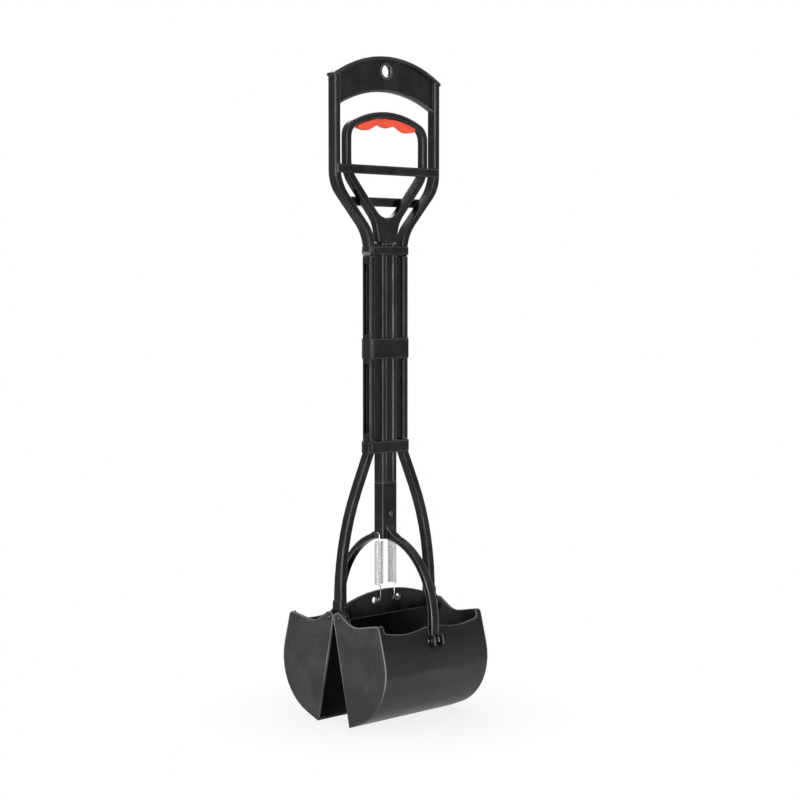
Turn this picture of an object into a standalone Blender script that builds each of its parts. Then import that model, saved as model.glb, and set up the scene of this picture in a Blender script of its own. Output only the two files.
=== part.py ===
"""Pooper scooper: a hand-held scooper with a sliding grip and two spring-closed jaws.

Lengths are in metres and +Z is up. The origin is on the floor under the middle of the
shaft. The jaws turn on axes along X, and the front of the scooper faces -Y. The pieces are
built as the scooper stands at rest, with its jaws a little open. Each piece has a frame of
its own: heights on the fork, the yoke and the jaws are measured from the hinge line, those
on the shaft from its lower end, and those on the handle and the grip from their lower seam.
"""
import math

import bmesh
import bpy
from mathutils import Matrix, Vector

NAME = "pooper_scooper"

# Fits and drawing fineness
CLEARANCE = 0.0003
SUNK = 0.0010
OVERRUN = 0.0030
FACET_SAG = 0.00016
ROUND_SIDES = 20
PIN_SIDES = 16
WELD = 0.00001

# Motion: the grip slides, and each jaw turns by the slide divided by the coupling
REST_OPENING = math.radians(12)
FURTHER_OPENING = math.radians(16.5)
COUPLING = 0.0615

# Jaws, measured from their own pivot: reach is outward, depth is down
JAW_LENGTH = 0.154
JAW_WALL = 0.0025
JAW_REACH = 0.0605
JAW_DEPTH = 0.1142
JAW_FLOOR_SLOPE = math.radians(10)
JAW_DRAFT = math.radians(2.7)
HINGE_SPACING = 0.0152
PARTING_GAP = 0.0006
EAR_TOP = 0.0064
EAR_FLAT = 0.0015
EAR_ROUND = 0.0060
SHOULDER_DROP = 0.0118
SHOULDER_ROUND = 0.0220
JAW_CORNER_DROP = 0.0128
JAW_CORNER_ROUND = 0.0045
JAW_RIM_DROP = 0.0213
JAW_RIM_DIP = 0.0040
JAW_RIM_POST = 0.0045
JAW_RIM_ROUND = 0.0035
JAW_RIM_STEPS = 8

# Slotted lugs in each jaw's wall, where the yoke's foot pin slides
NOTCH_PLAY = 0.0011
LUG_THICKNESS = 0.0018
LUG_MARGIN = 0.0014
PIN_WINDOW_MARGIN = 0.0009
SLOT_PLAY = 0.0005

# Foot pins
FOOT_PIN_RADIUS = 0.0016
FOOT_HEAD_RADIUS = 0.0024
FOOT_HEAD_HEIGHT = 0.0013
FOOT_CLIP_HEIGHT = 0.0010
FOOT_PIN_TAIL = 0.0007

# Pivot pins
PIVOT_RADIUS = 0.0020
PIVOT_HEAD_RADIUS = 0.0035
PIVOT_HEAD_HEIGHT = 0.0017
PIVOT_PIN_TAIL = 0.0010
RETAINER_RADIUS = 0.0040
RETAINER_HEIGHT = 0.0012

# Fork
FORK_HEIGHT = 0.1828
ARM_WIDTH = 0.0090
ARM_DEPTH = 0.0098
ARM_FOOT_DEPTH = 0.0126
ARM_INSET = 0.0058
ARM_TAPER_TOP = 0.0620
ARM_NECK_SPREAD = 0.0242
ARM_KNEE = 0.0802
ARM_SHOULDER_DROP = 0.0098
ARM_ROUND = 0.2620
ARM_NECK_ROUND = 0.0150
BRACKET_GAP = 0.0020
BRACKET_THICKNESS = 0.0065
BRACKET_TOP = 0.0180
BRACKET_TOP_WIDTH = 0.0130
BRACKET_FLARE_TOP = 0.0090
BRACKET_FLARE_BOTTOM = 0.0030
BRACKET_WIDTH = 0.0266
BRACKET_BOTTOM = 0.0070
BRACKET_ROUND = 0.0030
BOSS_RADIUS = 0.0046
BRIDGE_THICKNESS = 0.0024
BRIDGE_TOP = 0.0223
BRIDGE_CROWN = 0.1800
BRIDGE_BOTTOM = 0.0050
BRIDGE_HOLE_SPREAD = 0.0177
BRIDGE_HOLE_HEIGHT = 0.0118
BRIDGE_HOLE_RADIUS = 0.0034
HOOK_HOLE_RADIUS = 0.0017
FORK_COLLAR_HEIGHT = 0.0130

# Collars that the rod slides through
COLLAR_DEPTH = 0.0180
COLLAR_ROUND = 0.0030
COLLAR_INSET = 0.0004

# Shaft
SHAFT_LENGTH = 0.1960
RAIL_OUTSIDE = 0.0285
RAIL_WIDTH = 0.0080
RAIL_DEPTH = 0.0138
RAIL_ROUND = 0.0025
CHANNEL_WIDTH = 0.0086
CHANNEL_DEPTH = 0.0045
CHANNEL_MARGIN = 0.0080
SHAFT_COLLAR_HEIGHT = 0.0220
SHAFT_COLLAR_LIFT = 0.0870
SPIGOT_SPREAD = 0.0244
SPIGOT_WIDTH = 0.0050
SPIGOT_DEPTH = 0.0090
SPIGOT_LENGTH = 0.0100

# Handle
HANDLE_LENGTH = 0.2100
LEG_WIDTH = 0.0078
LEG_DEPTH = 0.0116
NECK_SPREAD = 0.0243
NECK_BEND = 0.0226
HANDLE_SPREAD = 0.0737
HANDLE_BEND = 0.0748
HANDLE_ROUND = 0.0400
HANDLE_COLLAR_HEIGHT = 0.0090
HANDLE_COLLAR_WINDOW = 0.0170
FLANGE_CROWN = 0.1500
FLANGE_HALF_WIDTH = 0.0790
FLANGE_THICKNESS = 0.0035
FLANGE_DEPTH = 0.0130
FLANGE_END_ROUND = 0.0012
PANEL_HEIGHT = 0.0370
PANEL_CROWN = 0.1520
PANEL_THICKNESS = 0.0035
PANEL_RIM_HEIGHT = 0.0022
PANEL_RIM_DEPTH = 0.0060
HANGING_HOLE_RADIUS = 0.0065
HANGING_HOLE_DROP = 0.0150
HANGING_BOSS_RADIUS = 0.0088
HANGING_BOSS_DEPTH = 0.0042
CROSSBAR_THICKNESS = 0.0028
CROSSBAR_HEIGHT = 0.0096
UPPER_CROSSBAR_DROP = 0.1198
LOWER_CROSSBAR_DROP = 0.1527
CROSSBAR_END_INSET = 0.0020
EDGE_ROUND = 0.0009

# Pull grip
GRIP_SEAM_LIFT = 0.0140
GRIP_HALF_WIDTH = 0.0605
GRIP_LEG_WIDTH = 0.0078
GRIP_FAN_WIDTH = 0.0092
GRIP_DEPTH = 0.0086
GRIP_SLOPE = math.radians(48.6)
GRIP_KNEE = 0.0705
GRIP_KNEE_ROUND = 0.0340
GRIP_FOOT_HALF_WIDTH = 0.0134
GRIP_FAN_CORNER = 0.0172
GRIP_FAN_ROUND = 0.0300
GRIP_CROTCH_ROUND = 0.0205
GRIP_HEADROOM = 0.0580
GRIP_CROWN = 0.1180
GRIP_BAR = 0.0067
GRIP_CORNER_START = 0.0490
GRIP_INNER_CORNER_START = 0.0440
GRIP_CORNER_ROUND = 0.0180
GRIP_INNER_CORNER_ROUND = 0.0140
PAD_HALF_WIDTH = 0.0425
PAD_THICKNESS = 0.0085
PAD_WAVE = 0.0015
PAD_LOBE_SPACING = 0.0268
PAD_DEPTH = 0.0096
PAD_ROUND = 0.0020
PAD_END_ROUND = 0.0050
PAD_STEPS = 36

# Pull rod
ROD_WIDTH = 0.0214
ROD_DEPTH = 0.0136
ROD_CHANNEL_WIDTH = 0.0096
ROD_CHANNEL_DEPTH = 0.0012
ROD_ROUND = 0.0012
TONGUE_WIDTH = 0.0170
TONGUE_DEPTH = 0.0072
GRIP_TONGUE_LENGTH = 0.0180
YOKE_TONGUE_LENGTH = 0.0430

# Yoke: an arch over the springs whose straps run down to the jaws
ARCH_DROP = 0.0072
ARCH_INNER_REACH = 0.0692
ARCH_INNER_HEIGHT = 0.0840
STRAP_THICKNESS = 0.0054
CROWN_THICKNESS = 0.0060
STRAP_WIDTH = 0.0090
STRAP_FOOT_WIDTH = 0.0102
CROWN_FLARE_SPREAD = 0.0200
CROWN_NECK_LIFT = 0.0050
CROWN_NECK_ROUND = 0.0130
ARCH_STEPS = 26
YOKE_STEM = 0.0610
FOOT_DROP = 0.0247
EYE_RADIUS = 0.0040
EYE_SET_IN = 0.0015
SCREW_DROP = 0.0340
SCREW_RADIUS = 0.0015
SCREW_HEAD_RADIUS = 0.0032
SCREW_HEAD_HEIGHT = 0.0018
SCREW_END_WALL = 0.0010

# Springs and the pin that they hang from
WIRE_RADIUS = 0.00055
COIL_RADIUS = 0.00445
COIL_SPREAD = 0.0098
COIL_BOTTOM = 0.0280
COIL_TOP_DROP = 0.0072
COIL_PITCH = 0.00164
COIL_POINTS = 8
HOOK_POINTS = 7
HOOK_SWEEP = math.radians(200)
PLATE_HOOK_SPREAD = 0.0104
PLATE_HOOK_RADIUS = 0.0029
HANGER_LIFT = 0.0045
HANGER_RADIUS = 0.0015
HANGER_HEAD_RADIUS = 0.0024
HANGER_HEAD_HEIGHT = 0.0012

# Heights of the main seams over the floor, at rest
PARTING_EDGE = HINGE_SPACING / 2 - PARTING_GAP / 2
PIVOT_Z = PARTING_EDGE * math.sin(REST_OPENING) + JAW_DEPTH * math.cos(REST_OPENING)
SHAFT_BOTTOM_Z = PIVOT_Z + FORK_HEIGHT
SHAFT_TOP_Z = SHAFT_BOTTOM_Z + SHAFT_LENGTH
GRIP_SEAM_Z = SHAFT_TOP_Z + GRIP_SEAM_LIFT
ARCH_TOP = ARCH_INNER_HEIGHT - ARCH_DROP
ROD_BOTTOM_Z = PIVOT_Z + ARCH_TOP + YOKE_STEM
SLIDE_DOWN = COUPLING * REST_OPENING
SLIDE_UP = COUPLING * FURTHER_OPENING

# Places that several pieces share
JAW_INSIDE = JAW_LENGTH / 2 - JAW_WALL
BRACKET_OUTSIDE = JAW_INSIDE - BRACKET_GAP
BRACKET_INSIDE = BRACKET_OUTSIDE - BRACKET_THICKNESS
ARM_SPREAD = BRACKET_OUTSIDE - ARM_INSET
GRIP_TOP = HANDLE_LENGTH - GRIP_SEAM_LIFT - GRIP_HEADROOM
FOOT_Y = ARCH_INNER_REACH + STRAP_THICKNESS / 2 - EYE_SET_IN
LUG_INSIDE = STRAP_FOOT_WIDTH / 2 + CLEARANCE
LUG_OUTSIDE = LUG_INSIDE + LUG_THICKNESS
NOTCH_HALF = STRAP_FOOT_WIDTH / 2 + NOTCH_PLAY
HANGER_Z = ARCH_TOP + HANGER_LIFT
COIL_TURNS = int((HANGER_Z - COIL_TOP_DROP - COIL_BOTTOM) / COIL_PITCH)
HOOK_X = ROD_WIDTH / 2 + CLEARANCE + WIRE_RADIUS
PIN_HOOK_RADIUS = HANGER_RADIUS + CLEARANCE + WIRE_RADIUS
PLATE_HOOK_Z = (BRIDGE_HOLE_HEIGHT + HOOK_HOLE_RADIUS - CLEARANCE - WIRE_RADIUS
                + math.sqrt(PLATE_HOOK_RADIUS ** 2 - (BRIDGE_THICKNESS / 2) ** 2))

# Planes that flat outlines are drawn in
FRONT = Matrix.Rotation(math.radians(90), 4, 'X')
SIDE = Matrix.Rotation(math.radians(90), 4, 'Z') @ Matrix.Rotation(math.radians(90), 4, 'X')

# Shares of a pin's head: across and up, from its middle to its rim
PIN_HEAD_SHARES = ((0, 1), (0.5, 0.94), (0.85, 0.7), (1, 0.3), (1, 0))
PIN_CHAMFER_SHARE = 0.25

COLOURS = {
    "black": ((0.013, 0.013, 0.014, 1), 0.42, 0),
    "grey": ((0.058, 0.058, 0.060, 1), 0.50, 0),
    "red": ((0.86, 0.095, 0.040, 1), 0.55, 0),
    "steel": ((0.62, 0.62, 0.63, 1), 0.28, 1),
    "oiled steel": ((0.055, 0.055, 0.058, 1), 0.26, 1),
    "coated steel": ((0.16, 0.16, 0.17, 1), 0.34, 1),
}


def clear_scene():
    """Remove what the opening scene holds."""
    for item in list(bpy.data.objects):
        bpy.data.objects.remove(item)


def collection(name):
    """A new collection in the scene."""
    made = bpy.data.collections.new(name)
    bpy.context.scene.collection.children.link(made)
    return made


def lift(x=0.0, y=0.0, z=0.0):
    """A frame moved from the origin."""
    return Matrix.Translation((x, y, z))


def finish(item, colour, parent=None):
    """Give a piece its own material, smooth its round faces and hang it on its parent."""
    base, roughness, metallic = COLOURS[colour]
    material = bpy.data.materials.new(item.name)
    material.use_nodes = True
    shader = material.node_tree.nodes["Principled BSDF"]
    shader.inputs["Base Color"].default_value = base
    shader.inputs["Roughness"].default_value = roughness
    shader.inputs["Metallic"].default_value = metallic
    item.data.materials.append(material)
    item.data.shade_smooth()
    item.data.set_sharp_from_angle(angle=math.radians(35))
    if parent is not None:
        item.parent = parent
        item.matrix_parent_inverse = parent.matrix_world.inverted()
    return item


def add_object(name, mesh, frame):
    """Link a mesh into the parts."""
    item = bpy.data.objects.new(name, mesh)
    item.matrix_world = frame
    bpy.data.collections[NAME].objects.link(item)
    return item


def solid_of(drawn):
    """Turn a curve object into a welded mesh object in the same place."""
    bpy.context.view_layer.update()
    graph = bpy.context.evaluated_depsgraph_get()
    mesh = bpy.data.meshes.new_from_object(drawn.evaluated_get(graph))
    shape = bmesh.new()
    shape.from_mesh(mesh)
    bmesh.ops.remove_doubles(shape, verts=shape.verts, dist=WELD)
    bmesh.ops.recalc_face_normals(shape, faces=shape.faces)
    shape.to_mesh(mesh)
    shape.free()
    name = drawn.name
    frame = drawn.matrix_world.copy()
    curve = drawn.data
    bpy.data.objects.remove(drawn)
    bpy.data.curves.remove(curve)
    return add_object(name, mesh, frame)


def plate(name, outlines, thickness, frame, edge=0.0, edge_steps=0):
    """A flat plate, its first outline the outer one and the others openings.

    The plate lies in the local XY plane of its frame, half its thickness on each side.
    """
    curve = bpy.data.curves.new(name, 'CURVE')
    curve.dimensions = '2D'
    curve.fill_mode = 'BOTH'
    curve.extrude = thickness / 2 - edge
    curve.bevel_depth = edge
    curve.bevel_resolution = edge_steps
    curve.offset = -edge
    for outline in outlines:
        spline = curve.splines.new('POLY')
        spline.points.add(len(outline) - 1)
        for point, (x, y) in zip(spline.points, outline):
            point.co = (x, y, 0, 1)
        spline.use_cyclic_u = True
    drawn = bpy.data.objects.new(name, curve)
    drawn.matrix_world = frame
    bpy.data.collections[NAME].objects.link(drawn)
    return solid_of(drawn)


def wire(name, points, radius, frame):
    """A round wire along the points, with filled ends."""
    curve = bpy.data.curves.new(name, 'CURVE')
    curve.dimensions = '3D'
    curve.bevel_depth = radius
    curve.bevel_resolution = 1
    curve.use_fill_caps = True
    spline = curve.splines.new('POLY')
    spline.points.add(len(points) - 1)
    for point, place in zip(spline.points, points):
        point.co = (*place, 1)
    drawn = bpy.data.objects.new(name, curve)
    drawn.matrix_world = frame
    bpy.data.collections[NAME].objects.link(drawn)
    return solid_of(drawn)


def block(name, low, high, frame):
    """A box between two corners."""
    low = Vector(low)
    high = Vector(high)
    shape = bmesh.new()
    bmesh.ops.create_cube(shape, size=1)
    bmesh.ops.scale(shape, vec=high - low, verts=shape.verts)
    bmesh.ops.translate(shape, vec=(low + high) / 2, verts=shape.verts)
    mesh = bpy.data.meshes.new(name)
    shape.to_mesh(mesh)
    shape.free()
    return add_object(name, mesh, frame)


def drum(name, radius, length, frame, sides=ROUND_SIDES):
    """A cylinder along the local Z of its frame, half its length on each side."""
    shape = bmesh.new()
    bmesh.ops.create_cone(shape, cap_ends=True, segments=sides, radius1=radius,
                          radius2=radius, depth=length)
    mesh = bpy.data.meshes.new(name)
    shape.to_mesh(mesh)
    shape.free()
    return add_object(name, mesh, frame)


def turned(name, profile, frame, sides=PIN_SIDES, ring=False):
    """A piece turned about the local Z of its frame from a profile that runs downward."""
    mesh = bpy.data.meshes.new(name)
    edges = [(i, i + 1) for i in range(len(profile) - 1)]
    if ring:
        edges.append((len(profile) - 1, 0))
    mesh.from_pydata([(radius, 0, height) for radius, height in profile], edges, [])
    item = add_object(name, mesh, frame)
    screw = item.modifiers.new("turn", 'SCREW')
    screw.steps = sides
    screw.render_steps = sides
    screw.use_merge_vertices = True
    screw.merge_threshold = WELD
    bpy.context.view_layer.update()
    graph = bpy.context.evaluated_depsgraph_get()
    turned_mesh = bpy.data.meshes.new_from_object(item.evaluated_get(graph))
    item.modifiers.clear()
    item.data = turned_mesh
    return item


def shape_with(target, tool, operation):
    """Join or cut a piece with a tool, which stays as a hidden guide."""
    modifier = target.modifiers.new(tool.name, 'BOOLEAN')
    modifier.operation = operation
    modifier.object = tool
    bpy.data.collections[NAME].objects.unlink(tool)
    bpy.data.collections["cutters"].objects.link(tool)
    tool.hide_render = True
    tool.display_type = 'WIRE'


def join(target, tool):
    """Join a tool to a piece."""
    shape_with(target, tool, 'UNION')


def cut(target, tool):
    """Cut a tool out of a piece."""
    shape_with(target, tool, 'DIFFERENCE')


def arc_steps(radius, turn):
    """How many straight steps keep an arc within the allowed sag."""
    step = 2 * math.acos(max(0, 1 - FACET_SAG / radius))
    return max(1, math.ceil(abs(turn) / step))


def rounded(corners):
    """A closed outline through corners (x, y, fillet radius), with arcs at the fillets."""
    count = len(corners)
    spots = [Vector(corner[:2]) for corner in corners]
    reaches = []
    for i, corner in enumerate(corners):
        back = spots[i - 1] - spots[i]
        ahead = spots[(i + 1) % count] - spots[i]
        half = back.angle(ahead, math.pi) / 2
        reaches.append(corner[2] / math.tan(half) if corner[2] else 0.0)
    trims = list(reaches)
    for i in range(count):
        following = (i + 1) % count
        length = (spots[following] - spots[i]).length
        total = reaches[i] + reaches[following]
        if total > length:
            share = length / total
            trims[i] = min(trims[i], reaches[i] * share)
            trims[following] = min(trims[following], reaches[following] * share)
    outline = []
    for i in range(count):
        if not trims[i]:
            outline.append(tuple(spots[i]))
            continue
        back = (spots[i - 1] - spots[i]).normalized()
        ahead = (spots[(i + 1) % count] - spots[i]).normalized()
        half = back.angle(ahead) / 2
        radius = trims[i] * math.tan(half)
        centre = spots[i] + (back + ahead).normalized() * (radius / math.sin(half))
        start = spots[i] + back * trims[i] - centre
        turn = start.angle_signed(spots[i] + ahead * trims[i] - centre)
        steps = arc_steps(radius, turn)
        for step in range(steps + 1):
            spoke = Matrix.Rotation(-turn * step / steps, 2) @ start
            outline.append(tuple(centre + spoke))
    return outline


def crown_arc(half_width, apex, radius):
    """Points of a shallow arch from left to right, its highest point on the middle line."""
    swing = math.asin(half_width / radius)
    steps = 2 * arc_steps(radius, swing)
    angles = [swing * (2 * i / steps - 1) for i in range(steps + 1)]
    return [(radius * math.sin(a), apex - radius + radius * math.cos(a)) for a in angles]


def crown_height(x, apex, radius):
    """Height of a shallow arch at x."""
    return apex - radius + math.sqrt(radius ** 2 - x ** 2)


def sharp(points):
    """Corners without a fillet."""
    return [(x, y, 0) for x, y in points]


def mirrored(corners):
    """The corners reflected to the left, in the opposite order."""
    return [(-x, y, radius) for x, y, radius in reversed(corners)]


def offset_path(points, distance):
    """An open path moved sideways, to its right for a positive distance."""
    moved = []
    for i, point in enumerate(points):
        here = Vector(point)
        normals = []
        for other, sign in ((i - 1, -1), (i + 1, 1)):
            if 0 <= other < len(points):
                along = (Vector(points[other]) - here).normalized() * sign
                normals.append(Vector((along.y, -along.x)))
        middle = (normals[0] + normals[-1]).normalized()
        moved.append(here + middle * (distance / middle.dot(normals[0])))
    return moved


def ribbon(points, width, radii):
    """Corners of a bent strip of even width, its bends rounded about the middle path."""
    right = offset_path(points, width / 2)
    left = offset_path(points, -width / 2)
    corners = []
    for side, path in ((1, right), (-1, left)):
        for i, place in enumerate(path):
            radius = 0.0
            if 0 < i < len(path) - 1:
                a = Vector(points[i]) - Vector(points[i - 1])
                b = Vector(points[i + 1]) - Vector(points[i])
                inward = side if a.cross(b) < 0 else -side
                radius = radii[i - 1] - inward * width / 2
            corners.append((place.x, place.y, radius))
    return corners[:len(path)] + corners[len(path):][::-1]


def collar(name, low, height, half_width, window, frame):
    """A ring round the rod, as a box with round corners and a rectangular opening."""
    half_depth = COLLAR_DEPTH / 2
    clear = ROD_DEPTH / 2 + CLEARANCE
    outer = rounded([(half_width, -half_depth, COLLAR_ROUND),
                     (half_width, half_depth, COLLAR_ROUND),
                     (-half_width, half_depth, COLLAR_ROUND),
                     (-half_width, -half_depth, COLLAR_ROUND)])
    opening = [(window, -clear), (window, clear), (-window, clear), (-window, -clear)]
    middle = lift(z=low + height / 2)
    return plate(name, [outer, opening], height, frame @ middle, edge=EDGE_ROUND)


def bar(name, half_width, middle, back, frame, forward=-1):
    """A flat crossbar on the front or the back of the handle's legs."""
    low = middle - CROSSBAR_HEIGHT / 2
    high = middle + CROSSBAR_HEIGHT / 2
    outline = [(half_width, low), (half_width, high), (-half_width, high), (-half_width, low)]
    y = forward * (back + CROSSBAR_THICKNESS / 2)
    return plate(name, [outline], CROSSBAR_THICKNESS, frame @ lift(y=y) @ FRONT, edge=EDGE_ROUND)


def handle_frame():
    """Panel, flange, legs, crossbars and neck, all moulded as one."""
    frame = lift(z=SHAFT_TOP_Z)
    flange_low = HANDLE_LENGTH - FLANGE_THICKNESS
    inner_crown = FLANGE_CROWN - FLANGE_THICKNESS
    leg = [(NECK_SPREAD, CLEARANCE), (NECK_SPREAD, NECK_BEND), (HANDLE_SPREAD, HANDLE_BEND),
           (HANDLE_SPREAD, flange_low)]
    outer = offset_path(leg, LEG_WIDTH / 2)
    inner = offset_path(leg, -LEG_WIDTH / 2)
    rounds = (HANDLE_ROUND - LEG_WIDTH / 2, HANDLE_ROUND + LEG_WIDTH / 2)
    edge_x = outer[3].x
    inner_x = inner[3].x
    right = [(inner[0].x, inner[0].y, 0), (outer[0].x, outer[0].y, 0),
             (outer[1].x, outer[1].y, rounds[1]), (outer[2].x, outer[2].y, rounds[0]),
             (edge_x, crown_height(edge_x, HANDLE_LENGTH - SUNK, FLANGE_CROWN), 0)]
    over = sharp(crown_arc(edge_x, HANDLE_LENGTH - SUNK, FLANGE_CROWN)[1:-1])
    low_crown = flange_low - SUNK
    under = sharp(crown_arc(inner_x, low_crown, inner_crown)[1:-1])
    inside = [(inner_x, crown_height(inner_x, low_crown, inner_crown), 0),
              (inner[2].x, inner[2].y, rounds[1]), (inner[1].x, inner[1].y, rounds[0])]
    corners = right + over[::-1] + mirrored(right) + mirrored(inside) + under + inside
    item = plate("handle_frame", [rounded(corners)], LEG_DEPTH, frame @ FRONT, edge=EDGE_ROUND)

    top = crown_arc(FLANGE_HALF_WIDTH, HANDLE_LENGTH, FLANGE_CROWN)
    bottom = crown_arc(FLANGE_HALF_WIDTH, flange_low, inner_crown)
    ends = [(x, y, FLANGE_END_ROUND) for x, y in (top[-1], bottom[-1], bottom[0], top[0])]
    outline = rounded(ends[:1] + ends[1:2] + sharp(bottom[1:-1][::-1]) + ends[2:] + sharp(top[1:-1]))
    join(item, plate("handle_flange", [outline], FLANGE_DEPTH, frame @ FRONT, edge=EDGE_ROUND))

    panel_low = HANDLE_LENGTH - PANEL_HEIGHT
    reach = inner_x + SUNK
    over = crown_arc(reach, flange_low + SUNK, inner_crown)
    outline = crown_arc(reach, panel_low, PANEL_CROWN) + over[::-1]
    join(item, plate("handle_panel", [outline], PANEL_THICKNESS, frame @ FRONT))
    outline = (crown_arc(reach, panel_low, PANEL_CROWN)
               + crown_arc(reach, panel_low + PANEL_RIM_HEIGHT, PANEL_CROWN)[::-1])
    join(item, plate("handle_panel_rim", [outline], PANEL_RIM_DEPTH, frame @ FRONT))

    centre = lift(z=HANDLE_LENGTH - HANGING_HOLE_DROP)
    join(item, drum("hanging_hole_rim", HANGING_BOSS_RADIUS, HANGING_BOSS_DEPTH,
                    frame @ centre @ FRONT))
    cut(item, drum("hanging_hole", HANGING_HOLE_RADIUS, HANGING_BOSS_DEPTH + OVERRUN,
                   frame @ centre @ FRONT))

    behind = GRIP_DEPTH / 2 + CLEARANCE
    upper = HANDLE_LENGTH - UPPER_CROSSBAR_DROP
    join(item, bar("upper_crossbar", edge_x - CROSSBAR_END_INSET, upper, behind, frame))
    slope = (HANDLE_SPREAD - NECK_SPREAD) / (HANDLE_BEND - NECK_BEND)
    lower = HANDLE_LENGTH - LOWER_CROSSBAR_DROP
    at_bar = NECK_SPREAD + slope * (lower - NECK_BEND)
    join(item, bar("lower_crossbar", at_bar, lower, behind, frame, forward=1))

    neck_outside = outer[0].x
    join(item, collar("neck_collar", CLEARANCE + SUNK, HANDLE_COLLAR_HEIGHT,
                      neck_outside - COLLAR_INSET, HANDLE_COLLAR_WINDOW, frame))
    sockets(item, frame, CLEARANCE - OVERRUN, SPIGOT_LENGTH + CLEARANCE)
    return finish(item, "black")


def sockets(item, frame, low, high):
    """Cut the two holes that the shaft's spigots sit in."""
    half_width = SPIGOT_WIDTH / 2 + CLEARANCE
    half_depth = SPIGOT_DEPTH / 2 + CLEARANCE
    for side, label in ((-1, "left"), (1, "right")):
        x = side * SPIGOT_SPREAD
        cut(item, block(f"{item.name}_{label}_socket", (x - half_width, -half_depth, low),
                        (x + half_width, half_depth, high), frame))


def guide_shaft():
    """Two channelled rails joined by the middle collar, with a spigot at each end."""
    frame = lift(z=SHAFT_BOTTOM_Z)
    half_depth = RAIL_DEPTH / 2
    rail_inside = RAIL_OUTSIDE - RAIL_WIDTH
    collar_high = SHAFT_COLLAR_LIFT + SHAFT_COLLAR_HEIGHT
    item = collar("guide_shaft", SHAFT_COLLAR_LIFT, SHAFT_COLLAR_HEIGHT,
                  RAIL_OUTSIDE - COLLAR_INSET, ROD_WIDTH / 2 + CLEARANCE, frame)
    spans = ((CHANNEL_MARGIN, SHAFT_COLLAR_LIFT - CHANNEL_MARGIN / 2),
             (collar_high + CHANNEL_MARGIN / 2, SHAFT_LENGTH - CHANNEL_MARGIN))
    for side, label in ((-1, "left"), (1, "right")):
        outer = side * RAIL_OUTSIDE
        inner = side * rail_inside
        outline = rounded([(outer, -half_depth, RAIL_ROUND), (outer, half_depth, RAIL_ROUND),
                           (inner, half_depth, RAIL_ROUND), (inner, -half_depth, RAIL_ROUND)])
        middle = lift(z=SHAFT_LENGTH / 2)
        join(item, plate(f"{label}_rail", [outline], SHAFT_LENGTH, frame @ middle))
        x = side * SPIGOT_SPREAD
        join(item, block(f"{label}_spigots",
                         (x - SPIGOT_WIDTH / 2, -SPIGOT_DEPTH / 2, -SPIGOT_LENGTH),
                         (x + SPIGOT_WIDTH / 2, SPIGOT_DEPTH / 2, SHAFT_LENGTH + SPIGOT_LENGTH),
                         frame))
        for number, (low, high) in enumerate(spans):
            radius = CHANNEL_WIDTH / 2
            outline = rounded([(radius, low, radius), (radius, high, radius),
                               (-radius, high, radius), (-radius, low, radius)])
            x = side * (RAIL_OUTSIDE - CHANNEL_DEPTH + (CHANNEL_DEPTH + OVERRUN) / 2)
            cut(item, plate(f"{label}_channel_{number}", [outline], CHANNEL_DEPTH + OVERRUN,
                            frame @ lift(x=x) @ SIDE))
    return finish(item, "black")


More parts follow.
